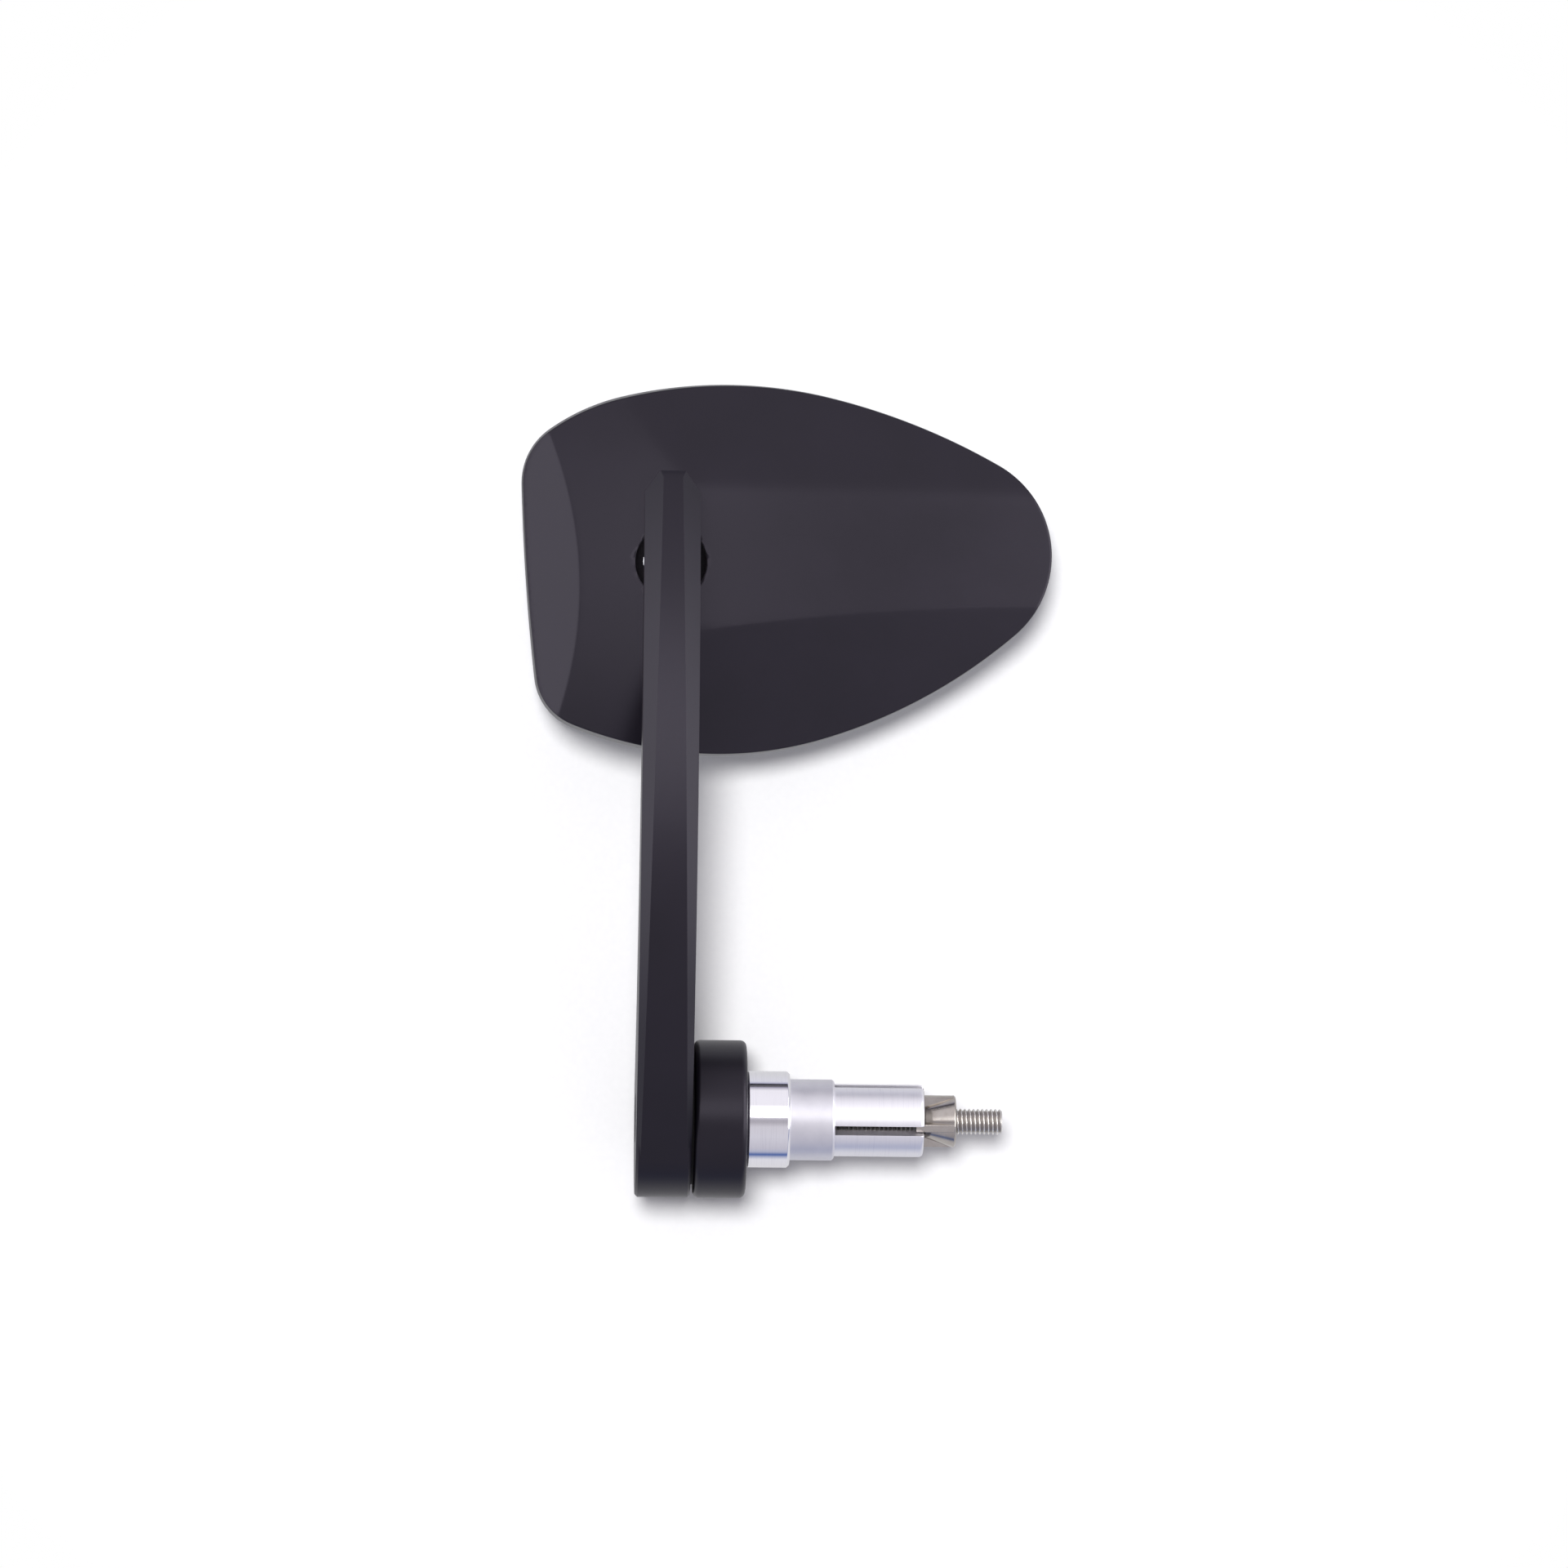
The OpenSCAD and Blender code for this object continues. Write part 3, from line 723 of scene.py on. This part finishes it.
# Arm
def mergedCopy(node):
    work = bmesh.new()
    work.from_mesh(nodes[node].data)
    bmesh.ops.remove_doubles(work, verts=work.verts, dist=0.001 * mm)
    bmesh.ops.dissolve_degenerate(work, edges=work.edges, dist=0.0005 * mm)
    bmesh.ops.dissolve_limit(work, angle_limit=math.radians(0.4), verts=work.verts, edges=work.edges)
    mesh = bpy.data.meshes.new(node)
    work.to_mesh(mesh)
    work.free()
    return mesh


armShape = {"edge": 0.22, "segments": 2, "angle": 24}


def makeArm(a):
    piece = newObject("armShape", mergedCopy("arm"))
    bevel = piece.modifiers.new("edges", "BEVEL")
    bevel.limit_method = "ANGLE"
    bevel.angle_limit = math.radians(a["angle"])
    bevel.width = a["edge"] * mm
    bevel.segments = a["segments"]
    bevel.use_clamp_overlap = True
    made = settle(piece)
    bpy.data.objects.remove(piece)
    return dressPiece("armBar", made, "arm", "black_anodised", ["arm"], 30)


makeArm(armShape)
print("stud and arm made")


# Mirror head
head = {"arcFrom": [-49, 61, 77, 104, 126, 182, 187, 248, 287, 311],
        "arcRadius": [24, 150, 0, 48, 15, 0, 13.5, 86, 122], "firstPoint": (79.4, -15.8),
        "draft": 0.07, "edge": 0.5, "foot": 0.4, "rim": 1.3, "tape": 5, "shell": 2.35, "spacing": 0.85,
        "bossRadius": 14.55, "bossHeight": 4.9, "cupRadius": 8.85, "socket": 6.8, "ballHeight": 11,
        "hole": 8.1, "neck": 3.2}
facets = {"across": -0.118, "crown": -0.00029, "rightHeight": 19, "topHeight": 27.1, "topSlope": -0.45,
          "topLean": -0.01, "bottomHeight": 24.3, "bottomSlope": 0.32, "bottomLean": -0.0536,
          "leftHeight": 28.5, "leftSlope": 0.7, "domeSlope": 0.24, "domeMiddle": -7, "domeRound": 384,
          "domeSoft": 0.25, "topSoft": 0.55, "leftSoft": 0.05, "edgeSoft": 0.06, "fadedSoft": 0.75,
          "fadeFrom": -6, "fadeLength": 22}
glass = {"front": -0.5, "radius": 1200, "x": 27, "z": -1.5, "thickness": 2, "tape": 1, "inset": 1.5}


def ray(angle):
    return Vector((math.cos(math.radians(angle)), math.sin(math.radians(angle))))


def outlineSamples(spacing):
    # the outline is a chain of tangent arcs; the two radii of 0 are worked out so that it closes
    angles, radii = head["arcFrom"], list(head["arcRadius"])
    turns = [ray(b) - ray(a) for a, b in zip(angles, angles[1:])]
    gap = -sum((t * r for t, r in zip(turns, radii)), Vector((0, 0)))
    area = turns[2].cross(turns[5])
    radii[2], radii[5] = gap.cross(turns[5]) / area, turns[2].cross(gap) / area
    samples, point = [], Vector(head["firstPoint"])
    for i, r in enumerate(radii):
        centre = point - r * ray(angles[i])
        count = max(2, round(math.radians(angles[i + 1] - angles[i]) * r / spacing))
        samples += [(centre, r, angles[i] + (angles[i + 1] - angles[i]) * k / count) for k in range(count)]
        point = centre + r * ray(angles[i + 1])
    return samples


def insetPoint(sample, t):
    centre, r, angle = sample
    return centre + (r - t) * ray(angle)


def softLower(a, b, k):
    return min(a, b) - k * math.log1p(math.exp(-abs(a - b) / k))


def ease(t):
    t = min(1, max(0, t))
    return t * t * (3 - 2 * t)


def dome(x, z):
    away = z - facets["domeMiddle"]
    return facets["rightHeight"] + facets["domeSlope"] * x - away ** 2 / facets["domeRound"]


def middleFacets(x, z):
    across = facets["across"] * x + (facets["crown"] * x * x if x > 0 else 0)
    right = facets["rightHeight"] + across
    top = facets["topHeight"] + across + facets["topLean"] * x + facets["topSlope"] * z
    return softLower(softLower(dome(x, z), right, facets["domeSoft"]), top, facets["topSoft"])


def bottomFacet(x, z):
    across = (facets["across"] + facets["bottomLean"]) * x
    return facets["bottomHeight"] + across + facets["bottomSlope"] * z


def backHeight(x, z):
    # the lower edge fades out under the arm
    faded = 1 - ease((x - facets["fadeFrom"]) / facets["fadeLength"])
    body = softLower(middleFacets(x, z), bottomFacet(x, z), facets["edgeSoft"] + facets["fadedSoft"] * faded)
    left = facets["leftHeight"] + facets["leftSlope"] * x
    return softLower(body, left, facets["leftSoft"])


def headSpot(p, h):
    # a plan point at height h over the head's mirror side, from where the ball lies at ballHeight
    x, y, z = ballCentre
    return ((x + p[0]) * mm, (y + head["ballHeight"] - h) * mm, (z + p[1]) * mm)


def solveLow(test, low, high):
    for step in range(40):
        middle = (low + high) / 2
        low, high = (middle, high) if test(middle) > 0 else (low, middle)
    return (low + high) / 2


def edgeLines():
    # where two facets meet crisply, as rows of plan points
    left, bottom, spacing = [], [], 0.6
    for k in range(-66, 63):
        z = k * spacing
        x = solveLow(lambda x: softLower(middleFacets(x, z), bottomFacet(x, z), 0.5)
                     - facets["leftHeight"] - facets["leftSlope"] * x, -34, 0)
        left.append(Vector((x, z)))
    for k in range(8, 150):
        x = k * spacing
        z = solveLow(lambda z: middleFacets(x, z) - bottomFacet(x, z), -40, 10)
        bottom.append(Vector((x, z)))
    return [left, bottom]


def besides(line, distance):
    rows = []
    for i, p in enumerate(line):
        along = (line[min(i + 1, len(line) - 1)] - line[max(i - 1, 0)]).normalized()
        rows.append(p + Vector((-along.y, along.x)) * distance)
    return rows


def insideLoop(p, loop):
    inside = False
    for a, b in zip(loop, loop[1:] + loop[:1]):
        if (a.y > p.y) != (b.y > p.y) and p.x < (b.x - a.x) * (p.y - a.y) / (b.y - a.y) + a.x:
            inside = not inside
    return inside


def fillSheet(outer, inner, lines, spacing, keepOff):
    # plan triangles between two loops; the first points are the outer loop, then the inner one
    points = list(outer) + list(inner)
    joins = [(i, (i + 1) % len(outer)) for i in range(len(outer))]
    joins += [(len(outer) + i, len(outer) + (i + 1) % len(inner)) for i in range(len(inner))]
    taken = {}

    def note(p, reach):
        taken.setdefault((int(p.x // 2), int(p.y // 2)), []).append((p, reach))

    def free(p):
        cx, cy = int(p.x // 2), int(p.y // 2)
        for i in (-1, 0, 1):
            for j in (-1, 0, 1):
                for q, reach in taken.get((cx + i, cy + j), ()):
                    if (p - q).length < reach:
                        return False
        return True

    for p in points:
        note(p, keepOff)
    border = list(outer)
    hole, beside = max(p.length for p in inner), 0.3
    for line in lines:
        for row in (line, besides(line, beside), besides(line, -beside)):
            kept = [p for p in row if free(p) and p.length > hole and insideLoop(p, border)]
            if row is line:
                joins += [(len(points) + i, len(points) + i + 1) for i in range(len(kept) - 1)
                          if (kept[i + 1] - kept[i]).length < 1.2]
            points += kept
        for p in line:
            note(p, beside + keepOff)
    low = [min(p[i] for p in outer) for i in (0, 1)]
    high = [max(p[i] for p in outer) for i in (0, 1)]
    rowHeight = spacing * 0.866  # rows of even triangles
    for j in range(int((high[1] - low[1]) / rowHeight) + 1):
        y = low[1] + j * rowHeight
        for i in range(int((high[0] - low[0]) / spacing) + 1):
            p = Vector((low[0] + (i + 0.5 * (j % 2)) * spacing, y))
            if p.length > hole + keepOff and free(p) and insideLoop(p, border):
                points.append(p)
    made = delaunay_2d_cdt(points, joins, [], 1, 1e-7, True)
    spots, triangles, sources = made[0], made[2], made[3]
    first = {}
    for i, ids in enumerate(sources):
        for source in ids:
            first[source] = i
    smallest = min(p.length for p in inner)
    kept = [t for t in triangles if sum((spots[i] for i in t), Vector((0, 0))).length / 3 > smallest * 0.995]
    ids = [first[i] for i in range(len(outer) + len(inner))]
    return spots, kept, ids[:len(outer)], ids[len(outer):]


def makeHead(s):
    samples = outlineSamples(0.8)
    around = [ray(360 * k / 96) for k in range(96)]
    points, faces = [], []

    def loopOf(spots):
        points.extend(spots)
        return list(range(len(points) - len(spots), len(points)))

    def grow(loop, spots):
        # the skin's next loop, joined to the one before
        following = loopOf(spots)
        faces.extend(band(loop, following))
        return following

    def fill(outer, inner, lines, spacing, keepOff, height):
        # a sheet between two loops, which are returned as the skin numbers them
        spots, triangles, outerIds, innerIds = fillSheet(outer, inner, lines, spacing, keepOff)
        base = loopOf([headSpot(p, height(p)) for p in spots])
        faces.extend(tuple(base[i] for i in t) for t in triangles)
        return [base[i] for i in outerIds], [base[i] for i in innerIds]

    def outside(p):
        return backHeight(p.x, p.y)

    def ledge(p):
        return glassHeight(p, glass["thickness"] + glass["tape"])

    def roof(p):
        return max(outside(p) - s["shell"], ledge(p) + 0.3)

    # each sample's wall leans in a little as it rises
    tops = []
    for sample in samples:
        h = 10
        for step in range(6):
            h = outside(insetPoint(sample, s["draft"] * h + s["edge"]))
        tops.append(h)
    hole, neck, ball = s["hole"], s["neck"], s["ballHeight"]
    outer = [insetPoint(p, s["draft"] * h + s["edge"]) for p, h in zip(samples, tops)]
    loop, mouth = fill(outer, [v * (hole + 0.22) for v in around], edgeLines(), s["spacing"], 0.5, outside)
    for drop, extra in ((0.04, 0.28), (0.15, 0.12), (0.3, 0.03), (s["edge"], 0.0)):
        loop = grow(loop, [headSpot(insetPoint(p, s["draft"] * (h - drop) + extra), h - drop)
                           for p, h in zip(samples, tops)])
    for share in (0.75, 0.5, 0.25, 0.0):
        levels = [s["foot"] + (h - s["edge"] - s["foot"]) * share for h in tops]
        loop = grow(loop, [headSpot(insetPoint(p, s["draft"] * level), level)
                           for p, level in zip(samples, levels)])
    rim, wallIn = s["rim"], s["rim"] + s["tape"]
    rimRows = [(0.03, 0.2), (0.12, 0.08), (0.3, 0.0), (rim - 0.15, 0.0), (rim - 0.04, 0.04), (rim, 0.15)]
    for inset, h in rimRows:
        loop = grow(loop, [headSpot(insetPoint(p, inset), h) for p in samples])
    for inset in (rim, wallIn):
        loop = grow(loop, [headSpot(p, ledge(p)) for p in (insetPoint(sample, inset) for sample in samples)])
    # the roof of the cavity, and the boss that holds the ball
    roofOuter, roofInner = fill([insetPoint(p, wallIn + 0.02) for p in samples],
                                [v * s["bossRadius"] for v in around], [], 3.0, 1.2, roof)
    faces.extend(band(loop, roofOuter))
    loop = roofInner
    bore = [(s["bossRadius"], s["bossHeight"]), (s["cupRadius"] + 0.3, s["bossHeight"]),
            (s["cupRadius"], s["bossHeight"] + 0.3), (s["cupRadius"], ball), (s["socket"], ball)]
    bore += [(math.sqrt(s["socket"] ** 2 - (neck * k / 8) ** 2), ball + neck * k / 8) for k in range(1, 9)]
    bore += [(hole - 0.2, ball + neck), (hole, ball + neck + 0.2)]
    for r, h in bore:
        loop = grow(loop, [headSpot(v * r, h) for v in around])
    loop = grow(loop, [headSpot(v * hole, outside(v * hole) - 0.25) for v in around])
    loop = grow(loop, [headSpot(v * (hole + 0.03), outside(v * hole) - 0.08) for v in around])
    faces.extend(band(loop, mouth))
    shell = newPiece("headShell", points, faces, "head", "black_anodised", ["mirror_housing"], 38)
    # the faces inside the hole take the dull dark finish, painted shade for the recess
    shell.data.materials.append(shadedBoreFinish)
    x, y, z = (place * mm for place in ballCentre)
    for face in shell.data.polygons:
        away = Vector((face.center.x - x, face.center.z - z))
        if away.length < (hole + 0.01) * mm and face.center.y < y:
            face.material_index = 1
    return shell


def glassHeight(p, behind):
    away = (p[0] - glass["x"]) ** 2 + (p[1] - glass["z"]) ** 2
    return glass["front"] + glass["radius"] - math.sqrt((glass["radius"] - behind) ** 2 - away)


def makeGlass(g):
    samples = outlineSamples(0.9)
    n, rings = len(samples), 44
    middle = Vector((g["x"], g["z"]))
    points, faces = [], []

    def sheet(inset, behind):
        # rings of points round the glass's middle; the faces come with them
        start = len(points)
        points.append(headSpot(middle, glassHeight(middle, behind)))
        loops = []
        for k in range(1, rings + 1):
            loops.append(range(len(points), len(points) + n))
            for sample in samples:
                p = middle + (insetPoint(sample, inset) - middle) * (k / rings)
                points.append(headSpot(p, glassHeight(p, behind)))
        faces.extend((start, loops[0][k], loops[0][(k + 1) % n]) for k in range(n))
        for one, two in zip(loops, loops[1:]):
            faces.extend(band(one, two))
        return loops[-1]

    front = sheet(g["inset"] + 0.35, 0)
    back = sheet(g["inset"] + 0.15, g["thickness"])
    loop, silvered = front, len(faces)
    for inset, depth in ((0.12, 0.10), (0.0, 0.35), (0.0, 1.85)):
        rim = range(len(points), len(points) + n)
        for sample in samples:
            p = insetPoint(sample, g["inset"] + inset)
            points.append(headSpot(p, glassHeight(p, 0) + depth))
        faces += band(loop, rim)
        loop = rim
    faces += band(loop, back)
    mesh = asMesh(points, faces)
    mesh.materials.append(finishes["mirror_glass"])
    mesh.materials.append(glassEdge)
    for face in mesh.polygons:
        face.material_index = 1 if face.index >= silvered else 0
    work = bmesh.new()
    work.from_mesh(mesh)
    bmesh.ops.recalc_face_normals(work, faces=work.faces)
    work.to_mesh(mesh)
    work.free()
    mesh.shade_smooth()
    mesh.set_sharp_from_angle(angle=math.radians(30))
    piece = newObject("mirrorGlass", mesh)
    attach(piece, "head")
    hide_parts("mirror_glass")
    return piece


makeHead(head)
makeGlass(glass)
print("mirror head made")


# Clamp screws behind the glass
screws = {"ring": 11.4, "count": 4, "firstAngle": 45, "shank": 1.25, "headRadius": 2.5, "length": 6,
          "low": 3.4, "socket": 1.5, "mouth": 1.2, "depth": 0.9, "threadStart": 1.6, "pitch": 0.45}


def makeScrews(s):
    shank, wide, flats, mouth = s["shank"], s["headRadius"], s["socket"], s["mouth"]
    rows = [(s["depth"] + 0.2, 0), (s["depth"], mouth, flats), (0.05, mouth, flats), (0, mouth, flats + 0.1),
            (0, wide - 0.15), (0.1, wide), (0.2, wide - 0.05), (wide - shank, shank)]
    x = s["threadStart"]
    while x < s["length"] - 0.5:
        rows += [(x, shank), (x + 0.22, shank - 0.2)]
        x += s["pitch"]
    rows += [(s["length"] - 0.3, shank), (s["length"], shank - 0.35), (s["length"], 0)]
    points, faces = turned(rows, 24)
    # local x is the screw's axis: it becomes -Y, and the screw stands beside the ball's axis
    seat = headSpot((0, 0), s["low"])[1]
    placed = [(s["ring"] * mm + p[1], seat - p[0], p[2]) for p in points]
    centre = (ballCentre[0] * mm, 0, ballCentre[2] * mm)
    made = repeatRound(placed, faces, s["count"], s["firstAngle"], (0, 1, 0), centre, "steel")
    names = ["clamp_screw_" + str(k + 1) for k in range(s["count"])]
    return joined("clampScrews", [made], "head", "steel", names, 30)


makeScrews(screws)


# CAD pieces whose shape is right get a full finish
carriedOver = {"bolt_washer": "steel", "friction_washer": "washer_polymer", "liner_rear": "liner_nylon",
               "liner_front": "liner_nylon", "pressure_cup": "steel", "cup_spring": "steel",
               "clamp_plate": "steel", "foam_tape": "foam"}
for node, slot in carriedOver.items():
    nodes[node].data.materials.clear()
    nodes[node].data.materials.append(finishes[slot])
print("clamp screws made, CAD pieces finished")


# Camera, in mm and degrees; pixels is the focal length in the photograph's own pixels
lens = {"target": (0, 0, 76), "distance": 1500, "azimuth": -2.163, "elevation": 1.340, "roll": 0.79,
        "pixels": 8039.4, "photoWidth": 1920, "sensor": 36, "right": -2.22, "up": 0.79}


def makeCamera(c):
    a, e, r = (math.radians(c[k]) for k in ("azimuth", "elevation", "roll"))
    back = Vector((math.sin(a) * math.cos(e), -math.cos(a) * math.cos(e), math.sin(e)))
    right = (-back).cross(Vector((0, 0, 1))).normalized()
    up = right.cross(-back)
    right, up = right * math.cos(r) + up * math.sin(r), up * math.cos(r) - right * math.sin(r)
    place = Vector(c["target"]) + back * c["distance"] + right * c["right"] + up * c["up"]
    data = bpy.data.cameras.new("camera")
    data.lens = c["pixels"] / c["photoWidth"] * c["sensor"]
    data.clip_start, data.clip_end = 0.05, 20
    camera = newObject("camera", data)
    camera.matrix_world = Matrix.Translation(place * mm) @ Matrix((right, up, back)).transposed().to_4x4()
    bpy.context.scene.camera = camera


makeCamera(lens)


# Light, table and surroundings, in metres and degrees
studio = {"middle": 0.076, "tableY": 0.0183, "tableSize": 0.9, "tableColour": (0.52, 0.52, 0.525, 1),
          "tablePaler": (0.55, 0.55, 0.55, 1), "fadeCentre": (0.002, 0, 0.066), "fadeFrom": 0.13,
          "fadeTo": 0.24, "sunFrom": (-0.10, -1.0, 0.23), "sunAngle": 16, "sunPower": 4.3}
softboxes = [
    # name, place, width, height, brightness straight ahead, spread in degrees; each faces the mirror's middle
    ("keySoftbox", (-0.045, -0.30, 0.150), 0.24, 0.200, 2.8, 80),
    ("leftSoftbox", (-0.42, -0.14, 0.130), 0.34, 0.44, 1.55, 180),
    ("rightSoftbox", (0.35, -0.19, 0.120), 0.40, 0.42, 2.4, 180),
]
roomTones = [
    # degrees round the bar's axis, then red, green and blue; 0 is towards the camera and 90 is up
    (-180, 0.70, 0.70, 0.72), (-140, 0.74, 0.74, 0.76), (-108, 0.76, 0.76, 0.80), (-98, 0.46, 0.49, 0.62),
    (-91, 0.10, 0.16, 0.38), (-88, 0.10, 0.16, 0.38), (-80, 0.46, 0.48, 0.60), (-70, 0.56, 0.55, 0.62),
    (-38, 0.67, 0.66, 0.72), (-14, 0.66, 0.64, 0.69), (-3, 0.45, 0.43, 0.47), (3, 0.45, 0.43, 0.48),
    (9, 0.80, 0.78, 0.83), (40, 0.94, 0.92, 0.97), (56, 0.94, 0.92, 0.98), (78, 0.92, 0.90, 0.95),
    (85, 0.54, 0.52, 0.60), (90, 0.10, 0.09, 0.16), (93, 0.10, 0.09, 0.16), (99, 0.40, 0.41, 0.56),
    (108, 0.74, 0.74, 0.80), (140, 0.70, 0.70, 0.72), (180, 0.70, 0.70, 0.72),
]


def turnLamp(lamp, towards):
    # a lamp shines along its own -Z
    lamp.rotation_mode = "QUATERNION"
    lamp.rotation_quaternion = towards.to_track_quat("Z", "Y")


def makeSoftbox(name, place, width, height, brightness, spread):
    data = bpy.data.lights.new(name, "AREA")
    data.shape = "RECTANGLE"
    data.size, data.size_y = width, height
    half = math.radians(min(spread, 179.9)) / 2
    data.spread = half * 2
    data.energy = brightness * math.pi * width * height * (1 - half / math.tan(half))
    lamp = newObject(name, data)
    lamp.location = place
    turnLamp(lamp, Vector(place) - Vector((0, 0, place[2])))
    lamp.visible_camera = False
    return lamp


def makeTable(s):
    # the pale surface that the mirror lies on; it is seen from the front only and fades into the white
    half, y = s["tableSize"] / 2, s["tableY"]
    low, high = s["middle"] - half, s["middle"] + half
    mesh = asMesh([(-half, y, low), (half, y, low), (half, y, high), (-half, y, high)], [(0, 1, 2, 3)])
    material, place = newFinish("paleFloor")
    plan = (place - s["fadeCentre"]) * (1, 0, 1)
    away = place.add("ShaderNodeVectorMath", {"operation": "LENGTH"}, {0: plan}, output="Value")
    pale = place.add("ShaderNodeBsdfPrincipled", {}, {
        "Base Color": blendColour(place.noise(700, 2), s["tableColour"], s["tablePaler"]),
        "Roughness": 0.9, "Specular IOR Level": 0.0})
    clear = place.add("ShaderNodeBsdfTransparent")
    glossy = place.add("ShaderNodeLightPath", output="Is Glossy Ray")
    behind = place.add("ShaderNodeNewGeometry", output="Backfacing")
    unseen = behind.atLeast(glossy).atLeast(away.step(s["fadeFrom"], s["fadeTo"]))
    surface = place.add("ShaderNodeMixShader", {}, {0: unseen, 1: pale, 2: clear})
    place.add("ShaderNodeOutputMaterial", {}, {"Surface": surface})
    mesh.materials.append(material)
    table = newObject("floor", mesh)
    return table


def lightOnly(lamp, pieces):
    lit = bpy.data.collections.new(lamp.name + "Lit")
    for piece in pieces:
        lit.objects.link(piece)
    lamp.light_linking.receiver_collection = lit


def makeLamps(s, table):
    # the table lamp throws the narrow shadow on the table; the softboxes light the mirror alone
    data = bpy.data.lights.new("tableLamp", "SUN")
    data.energy = s["sunPower"]
    data.angle = math.radians(s["sunAngle"])
    tableLamp = newObject("tableLamp", data)
    tableLamp.location = Vector(s["sunFrom"]) * 0.5
    turnLamp(tableLamp, Vector(s["sunFrom"]))
    lightOnly(tableLamp, [table])
    model = [o for o in bpy.context.scene.objects if o.type == "MESH" and o != table]
    for box in softboxes:
        lightOnly(makeSoftbox(*box), model)


def makeSurroundings():
    # white to the camera; metal and glass show a white studio, dark where table and room meet
    world = bpy.data.worlds.new("studio")
    bpy.context.scene.world = world
    way = emptyTree(world).add("ShaderNodeTexCoord", output="Generated", kind="vector")
    x, y, z = way.parts()
    around = z.work("ARCTAN2", z, -y) / math.tau + 0.5
    stops = [((degrees + 180) / 360, (r, g, b, 1)) for degrees, r, g, b in roomTones]
    room = around.add("ShaderNodeValToRGB", {"stops": stops}, {0: around}, kind="vector")
    seen = way.add("ShaderNodeLightPath", output="Is Camera Ray")
    light = way.add("ShaderNodeBackground", {}, {"Color": blendColour(seen, room, (1, 1, 1, 1))})
    light.add("ShaderNodeOutputWorld", {}, {"Surface": light})


makeLamps(studio, makeTable(studio))
makeSurroundings()
bpy.context.scene.view_settings.view_transform = "Standard"
print("camera, lamps, table and surroundings made")

print("scene made")
